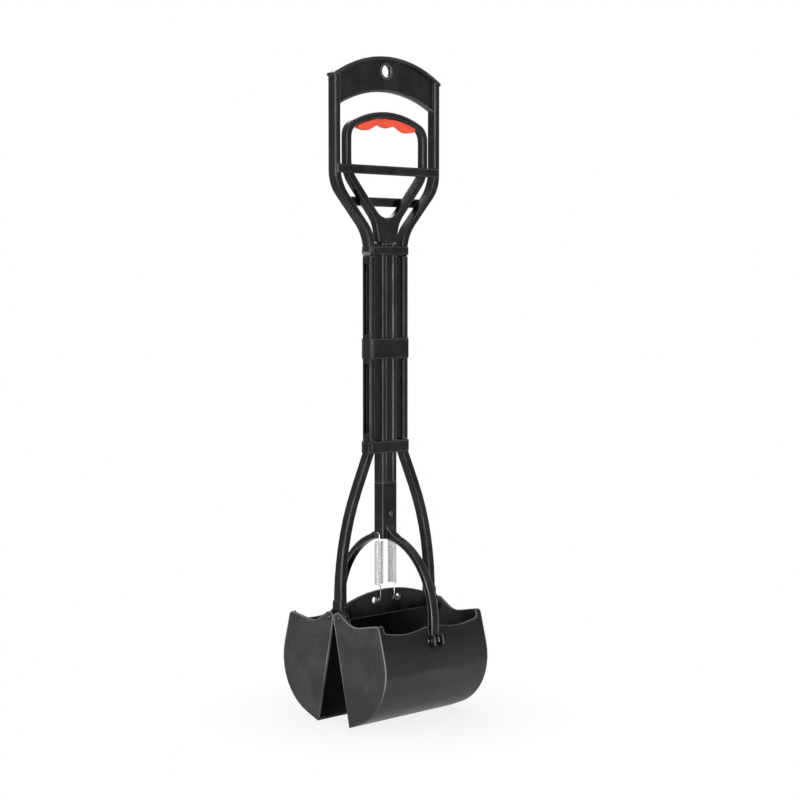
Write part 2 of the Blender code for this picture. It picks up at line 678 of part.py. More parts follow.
def jaw_fork():
    """Collar, two arms, their hinge brackets and the bridge plate between them."""
    frame = lift(z=PIVOT_Z)
    top = FORK_HEIGHT - CLEARANCE
    collar_low = top - FORK_COLLAR_HEIGHT
    item = collar("jaw_fork", collar_low, FORK_COLLAR_HEIGHT, RAIL_OUTSIDE,
                  ROD_WIDTH / 2 + CLEARANCE, frame)
    middle = BRACKET_OUTSIDE - BRACKET_THICKNESS / 2
    hinge_y = HINGE_SPACING / 2
    for side, label in ((-1, "left"), (1, "right")):
        path = [(ARM_NECK_SPREAD, top - SUNK), (ARM_NECK_SPREAD, top - ARM_SHOULDER_DROP),
                (ARM_SPREAD, ARM_KNEE), (ARM_SPREAD, BRACKET_FLARE_TOP)]
        corners = ribbon(path, ARM_WIDTH, (ARM_NECK_ROUND, ARM_ROUND))
        if side < 0:
            corners = mirrored(corners)
        arm = plate(f"{label}_arm", [rounded(corners)], ARM_DEPTH, frame @ FRONT, edge=EDGE_ROUND)
        taper(arm, (ARM_TAPER_TOP, BRACKET_FLARE_TOP), (ARM_DEPTH, ARM_FOOT_DEPTH))
        join(item, arm)

        right = [(BRACKET_WIDTH / 2, -BRACKET_BOTTOM, BRACKET_ROUND),
                 (BRACKET_WIDTH / 2, BRACKET_FLARE_BOTTOM, BRACKET_ROUND),
                 (BRACKET_TOP_WIDTH / 2, BRACKET_FLARE_TOP, BRACKET_ROUND),
                 (BRACKET_TOP_WIDTH / 2, BRACKET_TOP, BRACKET_ROUND)]
        outline = rounded(right + mirrored(right))
        join(item, plate(f"{label}_bracket", [outline], BRACKET_THICKNESS,
                         frame @ lift(x=side * middle) @ SIDE, edge=EDGE_ROUND))
        boss_end = JAW_INSIDE - CLEARANCE
        boss_length = boss_end - middle
        for way, place in ((-1, "front"), (1, "rear")):
            axis = lift(x=side * (middle + boss_length / 2), y=way * hinge_y) @ SIDE
            join(item, drum(f"{place}_{label}_boss", BOSS_RADIUS, boss_length, frame @ axis))
            axis = lift(x=side * middle, y=way * hinge_y) @ SIDE
            cut(item, drum(f"{place}_{label}_bore", PIVOT_RADIUS + CLEARANCE,
                           2 * BRACKET_THICKNESS, frame @ axis))

    reach = BRACKET_INSIDE + SUNK
    over = crown_arc(reach, BRIDGE_TOP, BRIDGE_CROWN)
    outline = over + [(reach, -BRIDGE_BOTTOM), (-reach, -BRIDGE_BOTTOM)]
    openings = []
    for x, radius in ((BRIDGE_HOLE_SPREAD, BRIDGE_HOLE_RADIUS),
                      (PLATE_HOOK_SPREAD, HOOK_HOLE_RADIUS)):
        for side in (-1, 1):
            openings.append(circle(side * x, BRIDGE_HOLE_HEIGHT, radius))
    join(item, plate("bridge_plate", [outline] + openings, BRIDGE_THICKNESS, frame @ FRONT))
    sockets(item, frame, top - SPIGOT_LENGTH - CLEARANCE, top + OVERRUN)
    return finish(item, "black")


def circle(x, y, radius):
    """A round outline."""
    steps = arc_steps(radius, math.tau)
    angles = [math.tau * i / steps for i in range(steps)]
    return [(x + radius * math.cos(a), y + radius * math.sin(a)) for a in angles]


def jaw_profile(wall):
    """The bin's side profile, drawn a wall's thickness inside its outer face.

    It runs from the rim down the outer wall, round the bottom and up to the parting edge.
    """
    radius = JAW_REACH - wall
    slope = JAW_FLOOR_SLOPE
    run = PARTING_EDGE + JAW_REACH * math.sin(slope)
    centre = -JAW_DEPTH + JAW_REACH * math.cos(slope) + run * math.tan(slope)
    start = JAW_DRAFT
    finish_angle = slope - math.pi / 2
    steps = arc_steps(radius, start - finish_angle)
    angles = [start + (finish_angle - start) * i / steps for i in range(steps + 1)]
    points = [(radius * math.cos(a), centre + radius * math.sin(a)) for a in angles]
    rim = -JAW_CORNER_DROP
    top = (points[0][0] - (rim - points[0][1]) * math.tan(JAW_DRAFT), rim)
    last = points[-1]
    lip = (-PARTING_EDGE, last[1] - (last[0] + PARTING_EDGE) * math.tan(slope))
    return [top] + points + [lip]


def jaw_place(y, z, opening):
    """Where a spot in front of a pivot lies on the closed jaw, when the jaw has this opening."""
    return (y * math.cos(opening) + z * math.sin(opening),
            -y * math.sin(opening) + z * math.cos(opening))


def slot_path():
    """The foot pin's middle, as the jaw sees it, from closed to fully open."""
    out = FOOT_Y - HINGE_SPACING / 2
    stops = ((-SLIDE_DOWN, 0.0), (0.0, REST_OPENING), (SLIDE_UP, REST_OPENING + FURTHER_OPENING))
    return [jaw_place(out, slide - FOOT_DROP, opening) for slide, opening in stops]


def jaw(name, turn):
    """A bin-shaped jaw with two ears, an open top and a slotted pair of lugs."""
    way = -1 if turn else 1
    frame = (lift(y=way * HINGE_SPACING / 2, z=PIVOT_Z) @ Matrix.Rotation(turn, 4, 'Z')
             @ Matrix.Rotation(REST_OPENING, 4, 'X'))
    profile = jaw_profile(0)
    shoulder = EAR_TOP + EAR_FLAT + SHOULDER_DROP
    corners = [(-PARTING_EDGE, EAR_TOP, EAR_ROUND), (EAR_FLAT, EAR_TOP, EAR_ROUND),
               (shoulder, -SHOULDER_DROP, SHOULDER_ROUND),
               (profile[0][0], profile[0][1], JAW_CORNER_ROUND)] + sharp(profile[1:])
    item = plate(name, [rounded(corners)], JAW_LENGTH, frame @ SIDE)

    inner = jaw_profile(JAW_WALL)
    floor = inner[-1][1] - OVERRUN * math.tan(JAW_FLOOR_SLOPE)
    above = EAR_TOP + OVERRUN
    beyond = -PARTING_EDGE - OVERRUN
    hollow = [(beyond, above), (inner[0][0], above)] + inner[:-1] + [(beyond, floor)]
    cut(item, plate(f"{name}_hollow", [hollow], 2 * JAW_INSIDE, frame @ SIDE))

    path = slot_path()
    spots = [spot[1] for spot in path]
    window_half = LUG_OUTSIDE + CLEARANCE + FOOT_CLIP_HEIGHT + FOOT_PIN_TAIL + PIN_WINDOW_MARGIN
    window_low = min(spots) - EYE_RADIUS - PIN_WINDOW_MARGIN
    window_high = max(spots) + FOOT_HEAD_RADIUS + PIN_WINDOW_MARGIN
    post = JAW_INSIDE - JAW_RIM_POST
    rim = [(NOTCH_HALF + (post - NOTCH_HALF) * i / JAW_RIM_STEPS,
            -JAW_RIM_DROP - JAW_RIM_DIP * math.sin(math.pi * i / JAW_RIM_STEPS))
           for i in range(JAW_RIM_STEPS + 1)]
    right = ([(window_half, window_low, JAW_RIM_ROUND / 2),
              (window_half, window_high, JAW_RIM_ROUND / 2),
              (NOTCH_HALF, window_high, 0), (rim[0][0], rim[0][1], JAW_RIM_ROUND / 2)]
             + sharp(rim[1:-1])
             + [(post, rim[-1][1], JAW_RIM_ROUND), (post, -JAW_CORNER_DROP, JAW_RIM_ROUND),
                (JAW_INSIDE + SUNK, above, 0)])
    depth = JAW_REACH - EAR_FLAT
    opening = plate(f"{name}_rim_cut", [rounded(right + mirrored(right))], depth,
                    frame @ lift(y=JAW_REACH) @ FRONT)
    cut(item, opening)

    cut(item, drum(f"{name}_pivot_hole", PIVOT_RADIUS + CLEARANCE, JAW_LENGTH + OVERRUN,
                   frame @ SIDE, PIN_SIDES))

    slot_half = FOOT_PIN_RADIUS + SLOT_PLAY
    slot = stadium(path, slot_half)
    reach = slot_half + LUG_MARGIN
    low = window_low - LUG_MARGIN
    high = window_high + LUG_MARGIN
    inside = path[-1][0] - reach
    outside = path[0][0] + reach
    lug = rounded([(inside, low, reach), (outside, low, reach), (outside, high, reach),
                   (inside, high, reach)])
    for side, label in ((-1, "left"), (1, "right")):
        place = lift(x=side * (LUG_INSIDE + LUG_THICKNESS / 2))
        join(item, plate(f"{name}_{label}_lug", [lug, slot], LUG_THICKNESS, frame @ place @ SIDE))
    return finish(item, "grey")


def stadium(path, radius):
    """A slot with round ends along a path that bends a little."""
    right = offset_path(path, radius)
    left = offset_path(path, -radius)
    outline = []
    for ends, middle, along in ((right, path[-1], (path[-2], path[-1])),
                                (left[::-1], path[0], (path[1], path[0]))):
        outline += [tuple(spot) for spot in ends]
        heading = (Vector(along[1]) - Vector(along[0])).normalized()
        steps = arc_steps(radius, math.pi)
        for i in range(1, steps):
            spoke = end_spoke(heading, i / steps)
            outline.append((middle[0] + radius * spoke[0], middle[1] + radius * spoke[1]))
    return outline


def end_spoke(heading, share):
    """A unit spoke that turns from the right of a heading, past its front, to its left."""
    start = math.atan2(heading.y, heading.x) - math.pi / 2
    angle = start + math.pi * share
    return math.cos(angle), math.sin(angle)


def pin_profile(head_radius, head_height, radius, length):
    """A headed pin, its head over zero and its shank under it."""
    chamfer = radius * PIN_CHAMFER_SHARE
    head = [(head_radius * across, head_height * up) for across, up in PIN_HEAD_SHARES]
    return head + [(radius, 0), (radius, chamfer - length), (radius - chamfer, -length), (0, -length)]


def ring_profile(outer, inner, height):
    """A flat ring over zero."""
    return [(inner, height), (outer, height), (outer, 0), (inner, 0)]


def along_x(side):
    """A frame whose Z points outward along X on the given side."""
    return Matrix.Rotation(side * math.radians(90), 4, 'Y')


def pivot_pins():
    """Four headed pins that the jaws hang on, each held by a washer inside its bracket."""
    seat = JAW_LENGTH / 2 + CLEARANCE
    washer = BRACKET_INSIDE - CLEARANCE - RETAINER_HEIGHT
    length = seat - washer + PIVOT_PIN_TAIL
    for side, label in ((-1, "left"), (1, "right")):
        for way, place in ((-1, "front"), (1, "rear")):
            y = way * HINGE_SPACING / 2
            profile = pin_profile(PIVOT_HEAD_RADIUS, PIVOT_HEAD_HEIGHT, PIVOT_RADIUS, length)
            item = turned(f"{place}_{label}_pivot_pin", profile,
                          lift(side * seat, y, PIVOT_Z) @ along_x(side))
            finish(item, "oiled steel")
            profile = ring_profile(RETAINER_RADIUS, PIVOT_RADIUS + CLEARANCE, RETAINER_HEIGHT)
            item = turned(f"{place}_{label}_pivot_washer", profile,
                          lift(side * washer, y, PIVOT_Z) @ along_x(side), ring=True)
            finish(item, "oiled steel")


def pull_grip(slide):
    """The inner loop: a bowed bar, two legs and a fan that narrows to the rod."""
    frame = lift(z=GRIP_SEAM_Z)
    slope = math.tan(GRIP_SLOPE)
    fan_corner_z = GRIP_KNEE - (GRIP_HALF_WIDTH - GRIP_FAN_CORNER) * slope
    corner_z = crown_height(GRIP_CORNER_START, GRIP_TOP, GRIP_CROWN)
    fall = GRIP_CORNER_START / math.sqrt(GRIP_CROWN ** 2 - GRIP_CORNER_START ** 2)
    shoulder_z = corner_z - fall * (GRIP_HALF_WIDTH - GRIP_CORNER_START)
    right = [(GRIP_FOOT_HALF_WIDTH, CLEARANCE, 2 * EDGE_ROUND),
             (GRIP_FAN_CORNER, fan_corner_z, GRIP_FAN_ROUND),
             (GRIP_HALF_WIDTH, GRIP_KNEE, GRIP_KNEE_ROUND),
             (GRIP_HALF_WIDTH, shoulder_z, GRIP_CORNER_ROUND)]
    over = sharp(crown_arc(GRIP_CORNER_START, GRIP_TOP, GRIP_CROWN))
    outer = rounded(right + over[::-1] + mirrored(right))

    under_top = GRIP_TOP - GRIP_BAR
    under_crown = GRIP_CROWN - GRIP_BAR
    inner_x = GRIP_HALF_WIDTH - GRIP_LEG_WIDTH
    knee = GRIP_KNEE + GRIP_FAN_WIDTH / math.cos(GRIP_SLOPE) - GRIP_LEG_WIDTH * slope
    crotch = knee - inner_x * slope
    corner_z = crown_height(GRIP_INNER_CORNER_START, under_top, under_crown)
    fall = GRIP_INNER_CORNER_START / math.sqrt(under_crown ** 2 - GRIP_INNER_CORNER_START ** 2)
    shoulder_z = corner_z - fall * (inner_x - GRIP_INNER_CORNER_START)
    right = [(inner_x, knee, GRIP_KNEE_ROUND - GRIP_LEG_WIDTH),
             (inner_x, shoulder_z, GRIP_INNER_CORNER_ROUND)]
    over = sharp(crown_arc(GRIP_INNER_CORNER_START, under_top, under_crown))
    inner = rounded([(0, crotch, GRIP_CROTCH_ROUND)] + right + over[::-1] + mirrored(right))
    item = plate("pull_grip", [outer, inner], GRIP_DEPTH, frame @ FRONT, edge=EDGE_ROUND)
    join(item, block("grip_tongue", (-TONGUE_WIDTH / 2, -TONGUE_DEPTH / 2, -GRIP_TONGUE_LENGTH),
                     (TONGUE_WIDTH / 2, TONGUE_DEPTH / 2, CLEARANCE + SUNK), frame))
    return finish(item, "black", slide)


def finger_pad(slide):
    """A soft pad with three finger lobes, under the grip's bar."""
    frame = lift(z=GRIP_SEAM_Z)
    apex = GRIP_TOP - GRIP_BAR - CLEARANCE
    crown = GRIP_CROWN - GRIP_BAR - CLEARANCE
    top = crown_arc(PAD_HALF_WIDTH, apex, crown)
    lobes = []
    for i in range(PAD_STEPS + 1):
        x = PAD_HALF_WIDTH * (1 - 2 * i / PAD_STEPS)
        thickness = PAD_THICKNESS + PAD_WAVE * math.cos(math.tau * x / PAD_LOBE_SPACING)
        lobes.append((x, crown_height(x, apex, crown) - thickness))
    ends = [(x, y, PAD_END_ROUND) for x, y in (top[-1], lobes[0], lobes[-1], top[0])]
    corners = ends[:1] + ends[1:2] + sharp(lobes[2:-2]) + ends[2:] + sharp(top[1:-1])
    item = plate("finger_pad", [rounded(corners)], PAD_DEPTH, frame @ FRONT, edge=PAD_ROUND,
                 edge_steps=1)
    return finish(item, "red", slide)


def pull_rod(slide):
    """A flat bar with a shallow channel on its front and back, and a tongue at its foot."""
    length = GRIP_SEAM_Z - ROD_BOTTOM_Z
    frame = lift(z=ROD_BOTTOM_Z)
    half_width = ROD_WIDTH / 2
    half_depth = ROD_DEPTH / 2
    channel = ROD_CHANNEL_WIDTH / 2
    floor = half_depth - ROD_CHANNEL_DEPTH
    right = [(channel, -floor, 0), (channel, -half_depth, 0), (half_width, -half_depth, ROD_ROUND),
             (half_width, half_depth, ROD_ROUND), (channel, half_depth, 0), (channel, floor, 0)]
    middle = lift(z=length / 2)
    item = plate("pull_rod", [rounded(right + mirrored(right))], length, frame @ middle)
    half_width = TONGUE_WIDTH / 2
    half_depth = TONGUE_DEPTH / 2
    join(item, block("rod_tongue", (-half_width, -half_depth, -YOKE_TONGUE_LENGTH),
                     (half_width, half_depth, SUNK), frame))
    axis = lift(z=-SCREW_DROP) @ FRONT
    cut(item, drum("rod_screw_hole", SCREW_RADIUS + CLEARANCE, ROD_DEPTH, frame @ axis, PIN_SIDES))
    half_width += CLEARANCE
    half_depth += CLEARANCE
    socket_low = length - GRIP_TONGUE_LENGTH - CLEARANCE
    cut(item, block("rod_socket", (-half_width, -half_depth, socket_low),
                    (half_width, half_depth, length + OVERRUN), frame))
    return finish(item, "black", slide)


def half_ellipse(reach, height):
    """The right quarter of an ellipse, from its foot to just before its top."""
    angles = [math.pi / 2 * i / ARCH_STEPS for i in range(ARCH_STEPS)]
    return [(reach * math.cos(a), height * math.sin(a)) for a in angles]


def yoke(slide):
    """Stem, crown and the two bowed straps, each ending in an eye for its foot pin."""
    frame = lift(z=PIVOT_Z)
    arch_frame = frame @ lift(z=-ARCH_DROP)
    outer_height = ARCH_INNER_HEIGHT + CROWN_THICKNESS
    outer_reach = ARCH_INNER_REACH + STRAP_THICKNESS
    outer = half_ellipse(outer_reach, outer_height)
    outer = [spot for spot in outer if spot[0] > CROWN_FLARE_SPREAD]
    inner = half_ellipse(ARCH_INNER_REACH, ARCH_INNER_HEIGHT)
    foot = ARCH_DROP - FOOT_DROP
    neck = ROD_DEPTH / 2 - SUNK
    flare = outer_height * math.sqrt(1 - (CROWN_FLARE_SPREAD / outer_reach) ** 2)
    right = ([(outer_reach, foot, 0)] + sharp(outer)
             + [(CROWN_FLARE_SPREAD, flare, 0),
                (neck, outer_height + CROWN_NECK_LIFT, CROWN_NECK_ROUND),
                (neck, outer_height + 2 * CROWN_NECK_LIFT + CROWN_NECK_ROUND, 0)])
    left_inner = [(-x, y, r) for x, y, r in sharp(inner)]
    corners = (right + mirrored(right) + [(-ARCH_INNER_REACH, foot, 0)] + left_inner
               + [(0, ARCH_INNER_HEIGHT, 0)] + sharp(inner)[::-1] + [(ARCH_INNER_REACH, foot, 0)])
    item = plate("yoke", [rounded(corners)], STRAP_WIDTH, arch_frame @ SIDE)
    taper(item, (ARCH_INNER_HEIGHT, foot), (STRAP_WIDTH, STRAP_FOOT_WIDTH))

    for way, label in ((-1, "front"), (1, "rear")):
        axis = lift(y=way * FOOT_Y, z=-FOOT_DROP) @ SIDE
        join(item, drum(f"{label}_eye", EYE_RADIUS, STRAP_FOOT_WIDTH - SUNK / 2, frame @ axis))
        cut(item, drum(f"{label}_eye_hole", FOOT_PIN_RADIUS + CLEARANCE,
                       STRAP_FOOT_WIDTH + OVERRUN, frame @ axis, PIN_SIDES))

    low = ARCH_TOP + CLEARANCE
    high = ARCH_TOP + YOKE_STEM - CLEARANCE
    half_width = ROD_WIDTH / 2
    half_depth = ROD_DEPTH / 2
    outline = rounded([(half_width, -half_depth, ROD_ROUND), (half_width, half_depth, ROD_ROUND),
                       (-half_width, half_depth, ROD_ROUND), (-half_width, -half_depth, ROD_ROUND)])
    join(item, plate("yoke_stem", [outline], high - low, frame @ lift(z=(low + high) / 2)))
    half_width = TONGUE_WIDTH / 2 + CLEARANCE
    half_depth = TONGUE_DEPTH / 2 + CLEARANCE
    top = ARCH_TOP + YOKE_STEM
    cut(item, block("yoke_socket", (-half_width, -half_depth, top - YOKE_TONGUE_LENGTH - CLEARANCE),
                    (half_width, half_depth, top + OVERRUN), frame))
    front = -ROD_DEPTH / 2 - OVERRUN
    back = ROD_DEPTH / 2 - SCREW_END_WALL
    axis = lift(y=(front + back) / 2, z=top - SCREW_DROP) @ FRONT
    cut(item, drum("yoke_screw_hole", SCREW_RADIUS + CLEARANCE, back - front, frame @ axis, PIN_SIDES))
    axis = lift(z=HANGER_Z) @ SIDE
    cut(item, drum("hanger_hole", HANGER_RADIUS + CLEARANCE, ROD_WIDTH + OVERRUN, frame @ axis,
                   PIN_SIDES))
    return finish(item, "black", slide)


def taper(item, heights, thicknesses):
    """Change a plate's thickness evenly between an upper and a lower height of its outline."""
    high, low = heights
    top_thickness, foot_thickness = thicknesses
    for vertex in item.data.vertices:
        share = min(1, max(0, (high - vertex.co.y) / (high - low)))
        thickness = top_thickness + (foot_thickness - top_thickness) * share
        vertex.co.z *= thickness / top_thickness


def yoke_screw(slide):
    """The screw that holds the rod's tongue in the yoke, in from the front."""
    top = PIVOT_Z + ARCH_TOP + YOKE_STEM
    seat = ROD_DEPTH / 2 + CLEARANCE
    length = seat + ROD_DEPTH / 2 - SCREW_END_WALL - CLEARANCE
    profile = pin_profile(SCREW_HEAD_RADIUS, SCREW_HEAD_HEIGHT, SCREW_RADIUS, length)
    item = turned("yoke_screw", profile, lift(y=-seat, z=top - SCREW_DROP) @ FRONT)
    return finish(item, "coated steel", slide)


def foot_pins(slide):
    """A headed pin through each strap's eye and its lugs, with a clip on its end."""
    z = PIVOT_Z - FOOT_DROP
    seat = LUG_OUTSIDE + CLEARANCE
    length = 2 * seat + FOOT_CLIP_HEIGHT + FOOT_PIN_TAIL
    for way, place in ((-1, "front"), (1, "rear")):
        profile = pin_profile(FOOT_HEAD_RADIUS, FOOT_HEAD_HEIGHT, FOOT_PIN_RADIUS, length)
        item = turned(f"{place}_foot_pin", profile, lift(-seat, way * FOOT_Y, z) @ along_x(-1))
        finish(item, "steel", slide)
        profile = ring_profile(FOOT_HEAD_RADIUS, FOOT_PIN_RADIUS + CLEARANCE, FOOT_CLIP_HEIGHT)
        item = turned(f"{place}_foot_clip", profile, lift(seat, way * FOOT_Y, z) @ along_x(1),
                      ring=True)
        finish(item, "steel", slide)


def spring_hanger_pin(slide):
    """A cross pin through the crown, with a head on each end."""
    half = HOOK_X + WIRE_RADIUS + CLEARANCE
    end = half + HANGER_HEAD_HEIGHT
    profile = [(0, end), (HANGER_HEAD_RADIUS - CLEARANCE, end), (HANGER_HEAD_RADIUS, end - CLEARANCE),
               (HANGER_HEAD_RADIUS, half), (HANGER_RADIUS, half)]
    profile += [(radius, -height) for radius, height in reversed(profile)]
    item = turned("spring_hanger_pin", profile, lift(z=PIVOT_Z + HANGER_Z) @ along_x(1))
    return finish(item, "oiled steel", slide)


def spring_points(side):
    """The spring's middle line: plate hook, coil and pin hook, as one wire.

    It is drawn for the right spring and mirrored for the left one.
    """
    middle = Vector((COIL_SPREAD, 0))
    hook_y = -PLATE_HOOK_RADIUS
    start = math.atan2(hook_y, HOOK_X - COIL_SPREAD)
    points = []
    for i in range(HOOK_POINTS + 1):
        angle = math.pi + HOOK_SWEEP * (1 - i / HOOK_POINTS)
        points.append((PLATE_HOOK_SPREAD, PLATE_HOOK_RADIUS * math.cos(angle),
                       PLATE_HOOK_Z + PLATE_HOOK_RADIUS * math.sin(angle)))
    rim = middle + COIL_RADIUS * Vector((math.cos(start), math.sin(start)))
    lead = 2 * COIL_PITCH
    points.append((PLATE_HOOK_SPREAD, hook_y, COIL_BOTTOM - lead))
    half_way = (PLATE_HOOK_SPREAD + rim.x) / 2, (hook_y + rim.y) / 2
    points.append((half_way[0], half_way[1], COIL_BOTTOM - lead / 3))
    for i in range(COIL_TURNS * COIL_POINTS + 1):
        angle = start + math.tau * i / COIL_POINTS
        points.append((middle.x + COIL_RADIUS * math.cos(angle), COIL_RADIUS * math.sin(angle),
                       COIL_BOTTOM + COIL_PITCH * i / COIL_POINTS))
    coil_top = COIL_BOTTOM + COIL_PITCH * COIL_TURNS
    pin_y = -PIN_HOOK_RADIUS
    half_way = (HOOK_X + rim.x) / 2, (pin_y + rim.y) / 2
    points.append((half_way[0], half_way[1], coil_top + lead / 3))
    points.append((HOOK_X, pin_y, coil_top + lead))
    for i in range(HOOK_POINTS + 1):
        angle = math.pi - HOOK_SWEEP * i / HOOK_POINTS
        points.append((HOOK_X, PIN_HOOK_RADIUS * math.cos(angle),
                       HANGER_Z + PIN_HOOK_RADIUS * math.sin(angle)))
    return [(side * x, y, z) for x, y, z in points]


def least_gap(points):
    """The least space between two stretches of a wire that aren't neighbours along it."""
    least = math.inf
    skip = COIL_POINTS // 2
    for i, first in enumerate(points):
        for second in points[i + skip:]:
            least = min(least, math.dist(first, second))
    return least - 2 * WIRE_RADIUS


def springs(slide):
    """Two tension springs between the bridge plate and the hanger pin."""
    frame = lift(z=PIVOT_Z)
    for side, label in ((-1, "left"), (1, "right")):
        points = spring_points(side)
        gap = least_gap(points)
        print(f"{label}_spring: least gap between its turns {gap:.6f} m")
        item = wire(f"{label}_spring", points, WIRE_RADIUS, frame)
        finish(item, "steel", slide)


def main():
    clear_scene()
    collection(NAME)
    collection("cutters")
    slide = bpy.data.objects.new("pull_slide", None)
    slide.location = (0, 0, ROD_BOTTOM_Z)
    bpy.data.collections[NAME].objects.link(slide)
    bpy.context.view_layer.update()
    handle_frame()
    guide_shaft()
    jaw_fork()
    jaw("front_jaw", math.pi)
    jaw("rear_jaw", 0.0)
    pivot_pins()
    pull_grip(slide)
    finger_pad(slide)
    pull_rod(slide)
    yoke(slide)
    yoke_screw(slide)
    foot_pins(slide)
    spring_hanger_pin(slide)
    springs(slide)
    bpy.context.view_layer.update()


main()
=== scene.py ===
"""Finishes a pooper scooper and sets it on a pale floor.

The rigid parts keep their own shapes and get moulded plastic, steel and wire finishes with
softened edges. The finger pad, the two springs and the yoke's screw are made here in full
detail, each in the place of the plain part that it stands for. Lengths are in metres, +Z is
up, and the scooper faces -Y.
"""

import math

import bmesh
import bpy
from bpy.props import FloatProperty, FloatVectorProperty, IntProperty, PointerProperty
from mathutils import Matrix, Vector


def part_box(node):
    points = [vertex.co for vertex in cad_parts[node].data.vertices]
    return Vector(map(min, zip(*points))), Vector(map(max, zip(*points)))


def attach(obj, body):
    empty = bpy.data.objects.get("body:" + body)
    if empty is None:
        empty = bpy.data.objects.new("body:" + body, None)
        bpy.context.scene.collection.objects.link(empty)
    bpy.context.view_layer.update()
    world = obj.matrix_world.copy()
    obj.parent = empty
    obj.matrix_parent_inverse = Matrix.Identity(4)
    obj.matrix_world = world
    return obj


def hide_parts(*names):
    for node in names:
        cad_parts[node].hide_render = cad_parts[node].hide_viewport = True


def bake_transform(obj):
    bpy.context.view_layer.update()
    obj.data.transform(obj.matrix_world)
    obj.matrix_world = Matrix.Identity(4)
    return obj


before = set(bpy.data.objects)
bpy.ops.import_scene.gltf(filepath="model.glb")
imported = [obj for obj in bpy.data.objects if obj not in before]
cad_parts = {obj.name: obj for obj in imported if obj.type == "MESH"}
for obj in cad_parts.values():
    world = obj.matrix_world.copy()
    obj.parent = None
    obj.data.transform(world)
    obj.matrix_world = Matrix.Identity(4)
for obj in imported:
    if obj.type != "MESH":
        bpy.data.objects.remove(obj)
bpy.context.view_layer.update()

bl_info = {
    "name": "Pooper scooper finishes",
    "version": (1, 0, 0),
    "blender": (4, 5, 0),
    "location": "3D View > Sidebar > Scooper",
    "description": "Gives a spring-closed pooper scooper its finishes, pad, springs and studio",
    "category": "Object",
}

FRAME_PARTS = ("handle_frame", "guide_shaft", "jaw_fork")
SLIDING_PARTS = ("pull_grip", "pull_rod", "yoke")
RUNNING_PARTS = ("guide_shaft", "pull_rod")
JAW_PARTS = ("front_jaw", "rear_jaw")
PIN_PARTS = tuple(f"{end}_{side}_pivot_{kind}" for end in ("front", "rear")
                  for side in ("left", "right") for kind in ("pin", "washer"))
PIN_PARTS += tuple(f"{end}_foot_{kind}" for end in ("front", "rear") for kind in ("pin", "clip"))
PIN_PARTS += ("spring_hanger_pin",)


# Settings

class ScooperPlasticSettings(bpy.types.PropertyGroup):
    """Colours and edges of the moulded parts."""
    black: FloatVectorProperty(
        name="Black plastic", description="Colour of the frame, shaft and fork",
        subtype="COLOR", size=3, min=0, max=1, default=(0.0026, 0.0026, 0.0028))
    grey: FloatVectorProperty(
        name="Grey plastic", description="Colour of the two jaws",
        subtype="COLOR", size=3, min=0, max=1, default=(0.054, 0.054, 0.0555))
    edge: FloatProperty(
        name="Edge round", description="Width of the softened edges of the plastic",
        unit="LENGTH", min=0, default=0.0004)
    grain: FloatProperty(
        name="Grain", description="Size of the fine grain left by the mould",
        unit="LENGTH", min=0.00005, default=0.00042)


class ScooperPadSettings(bpy.types.PropertyGroup):
    """Form and colour of the soft finger pad."""
    colour: FloatVectorProperty(
        name="Pad colour", description="Colour of the soft rubber",
        subtype="COLOR", size=3, min=0, max=1, default=(0.96, 0.096, 0.042))
    thickness: FloatProperty(
        name="Thickness", description="Mean height of the pad under the bar",
        unit="LENGTH", min=0.002, default=0.0084)
    wave: FloatProperty(
        name="Lobe height", description="How far the finger lobes stand out",
        unit="LENGTH", min=0, default=0.0016)
    lobe: FloatProperty(
        name="Lobe spacing", description="Distance from one finger lobe to the next",
        unit="LENGTH", min=0.005, default=0.0268)
    tail: FloatProperty(
        name="Tail", description="Length over which each end of the pad thins out",
        unit="LENGTH", min=0.001, default=0.010)
    crown: FloatProperty(
        name="Crown", description="Radius of the bar's bow, which the pad follows",
        unit="LENGTH", min=0.05, default=0.111)


class ScooperSpringSettings(bpy.types.PropertyGroup):
    """The two tension springs."""
    wire: FloatProperty(
        name="Wire radius", description="Radius of the spring wire",
        unit="LENGTH", min=0.0001, default=0.00055)
    coil: FloatProperty(
        name="Coil radius", description="Radius of the coil at the middle of its wire",
        unit="LENGTH", min=0.001, default=0.00445)
    spread: FloatProperty(
        name="Spread", description="Distance of each coil from the middle",
        unit="LENGTH", min=0.001, default=0.0098)
    hook: FloatProperty(
        name="Hook spread", description="Distance of each lower hook from the middle",
        unit="LENGTH", min=0.001, default=0.0104)
    head: FloatProperty(
        name="Pin head", description="Height of the hanger pin's heads",
        unit="LENGTH", min=0, default=0.0012)
    low: FloatProperty(
        name="First turn", description="Height of the coil's first turn over the floor",
        unit="LENGTH", min=0, default=0.141222)
    pitch: FloatProperty(
        name="Pitch", description="Rise of one turn",
        unit="LENGTH", min=0.0005, default=0.00164)
    turns: IntProperty(
        name="Turns", description="Number of turns in each coil", min=1, default=28)


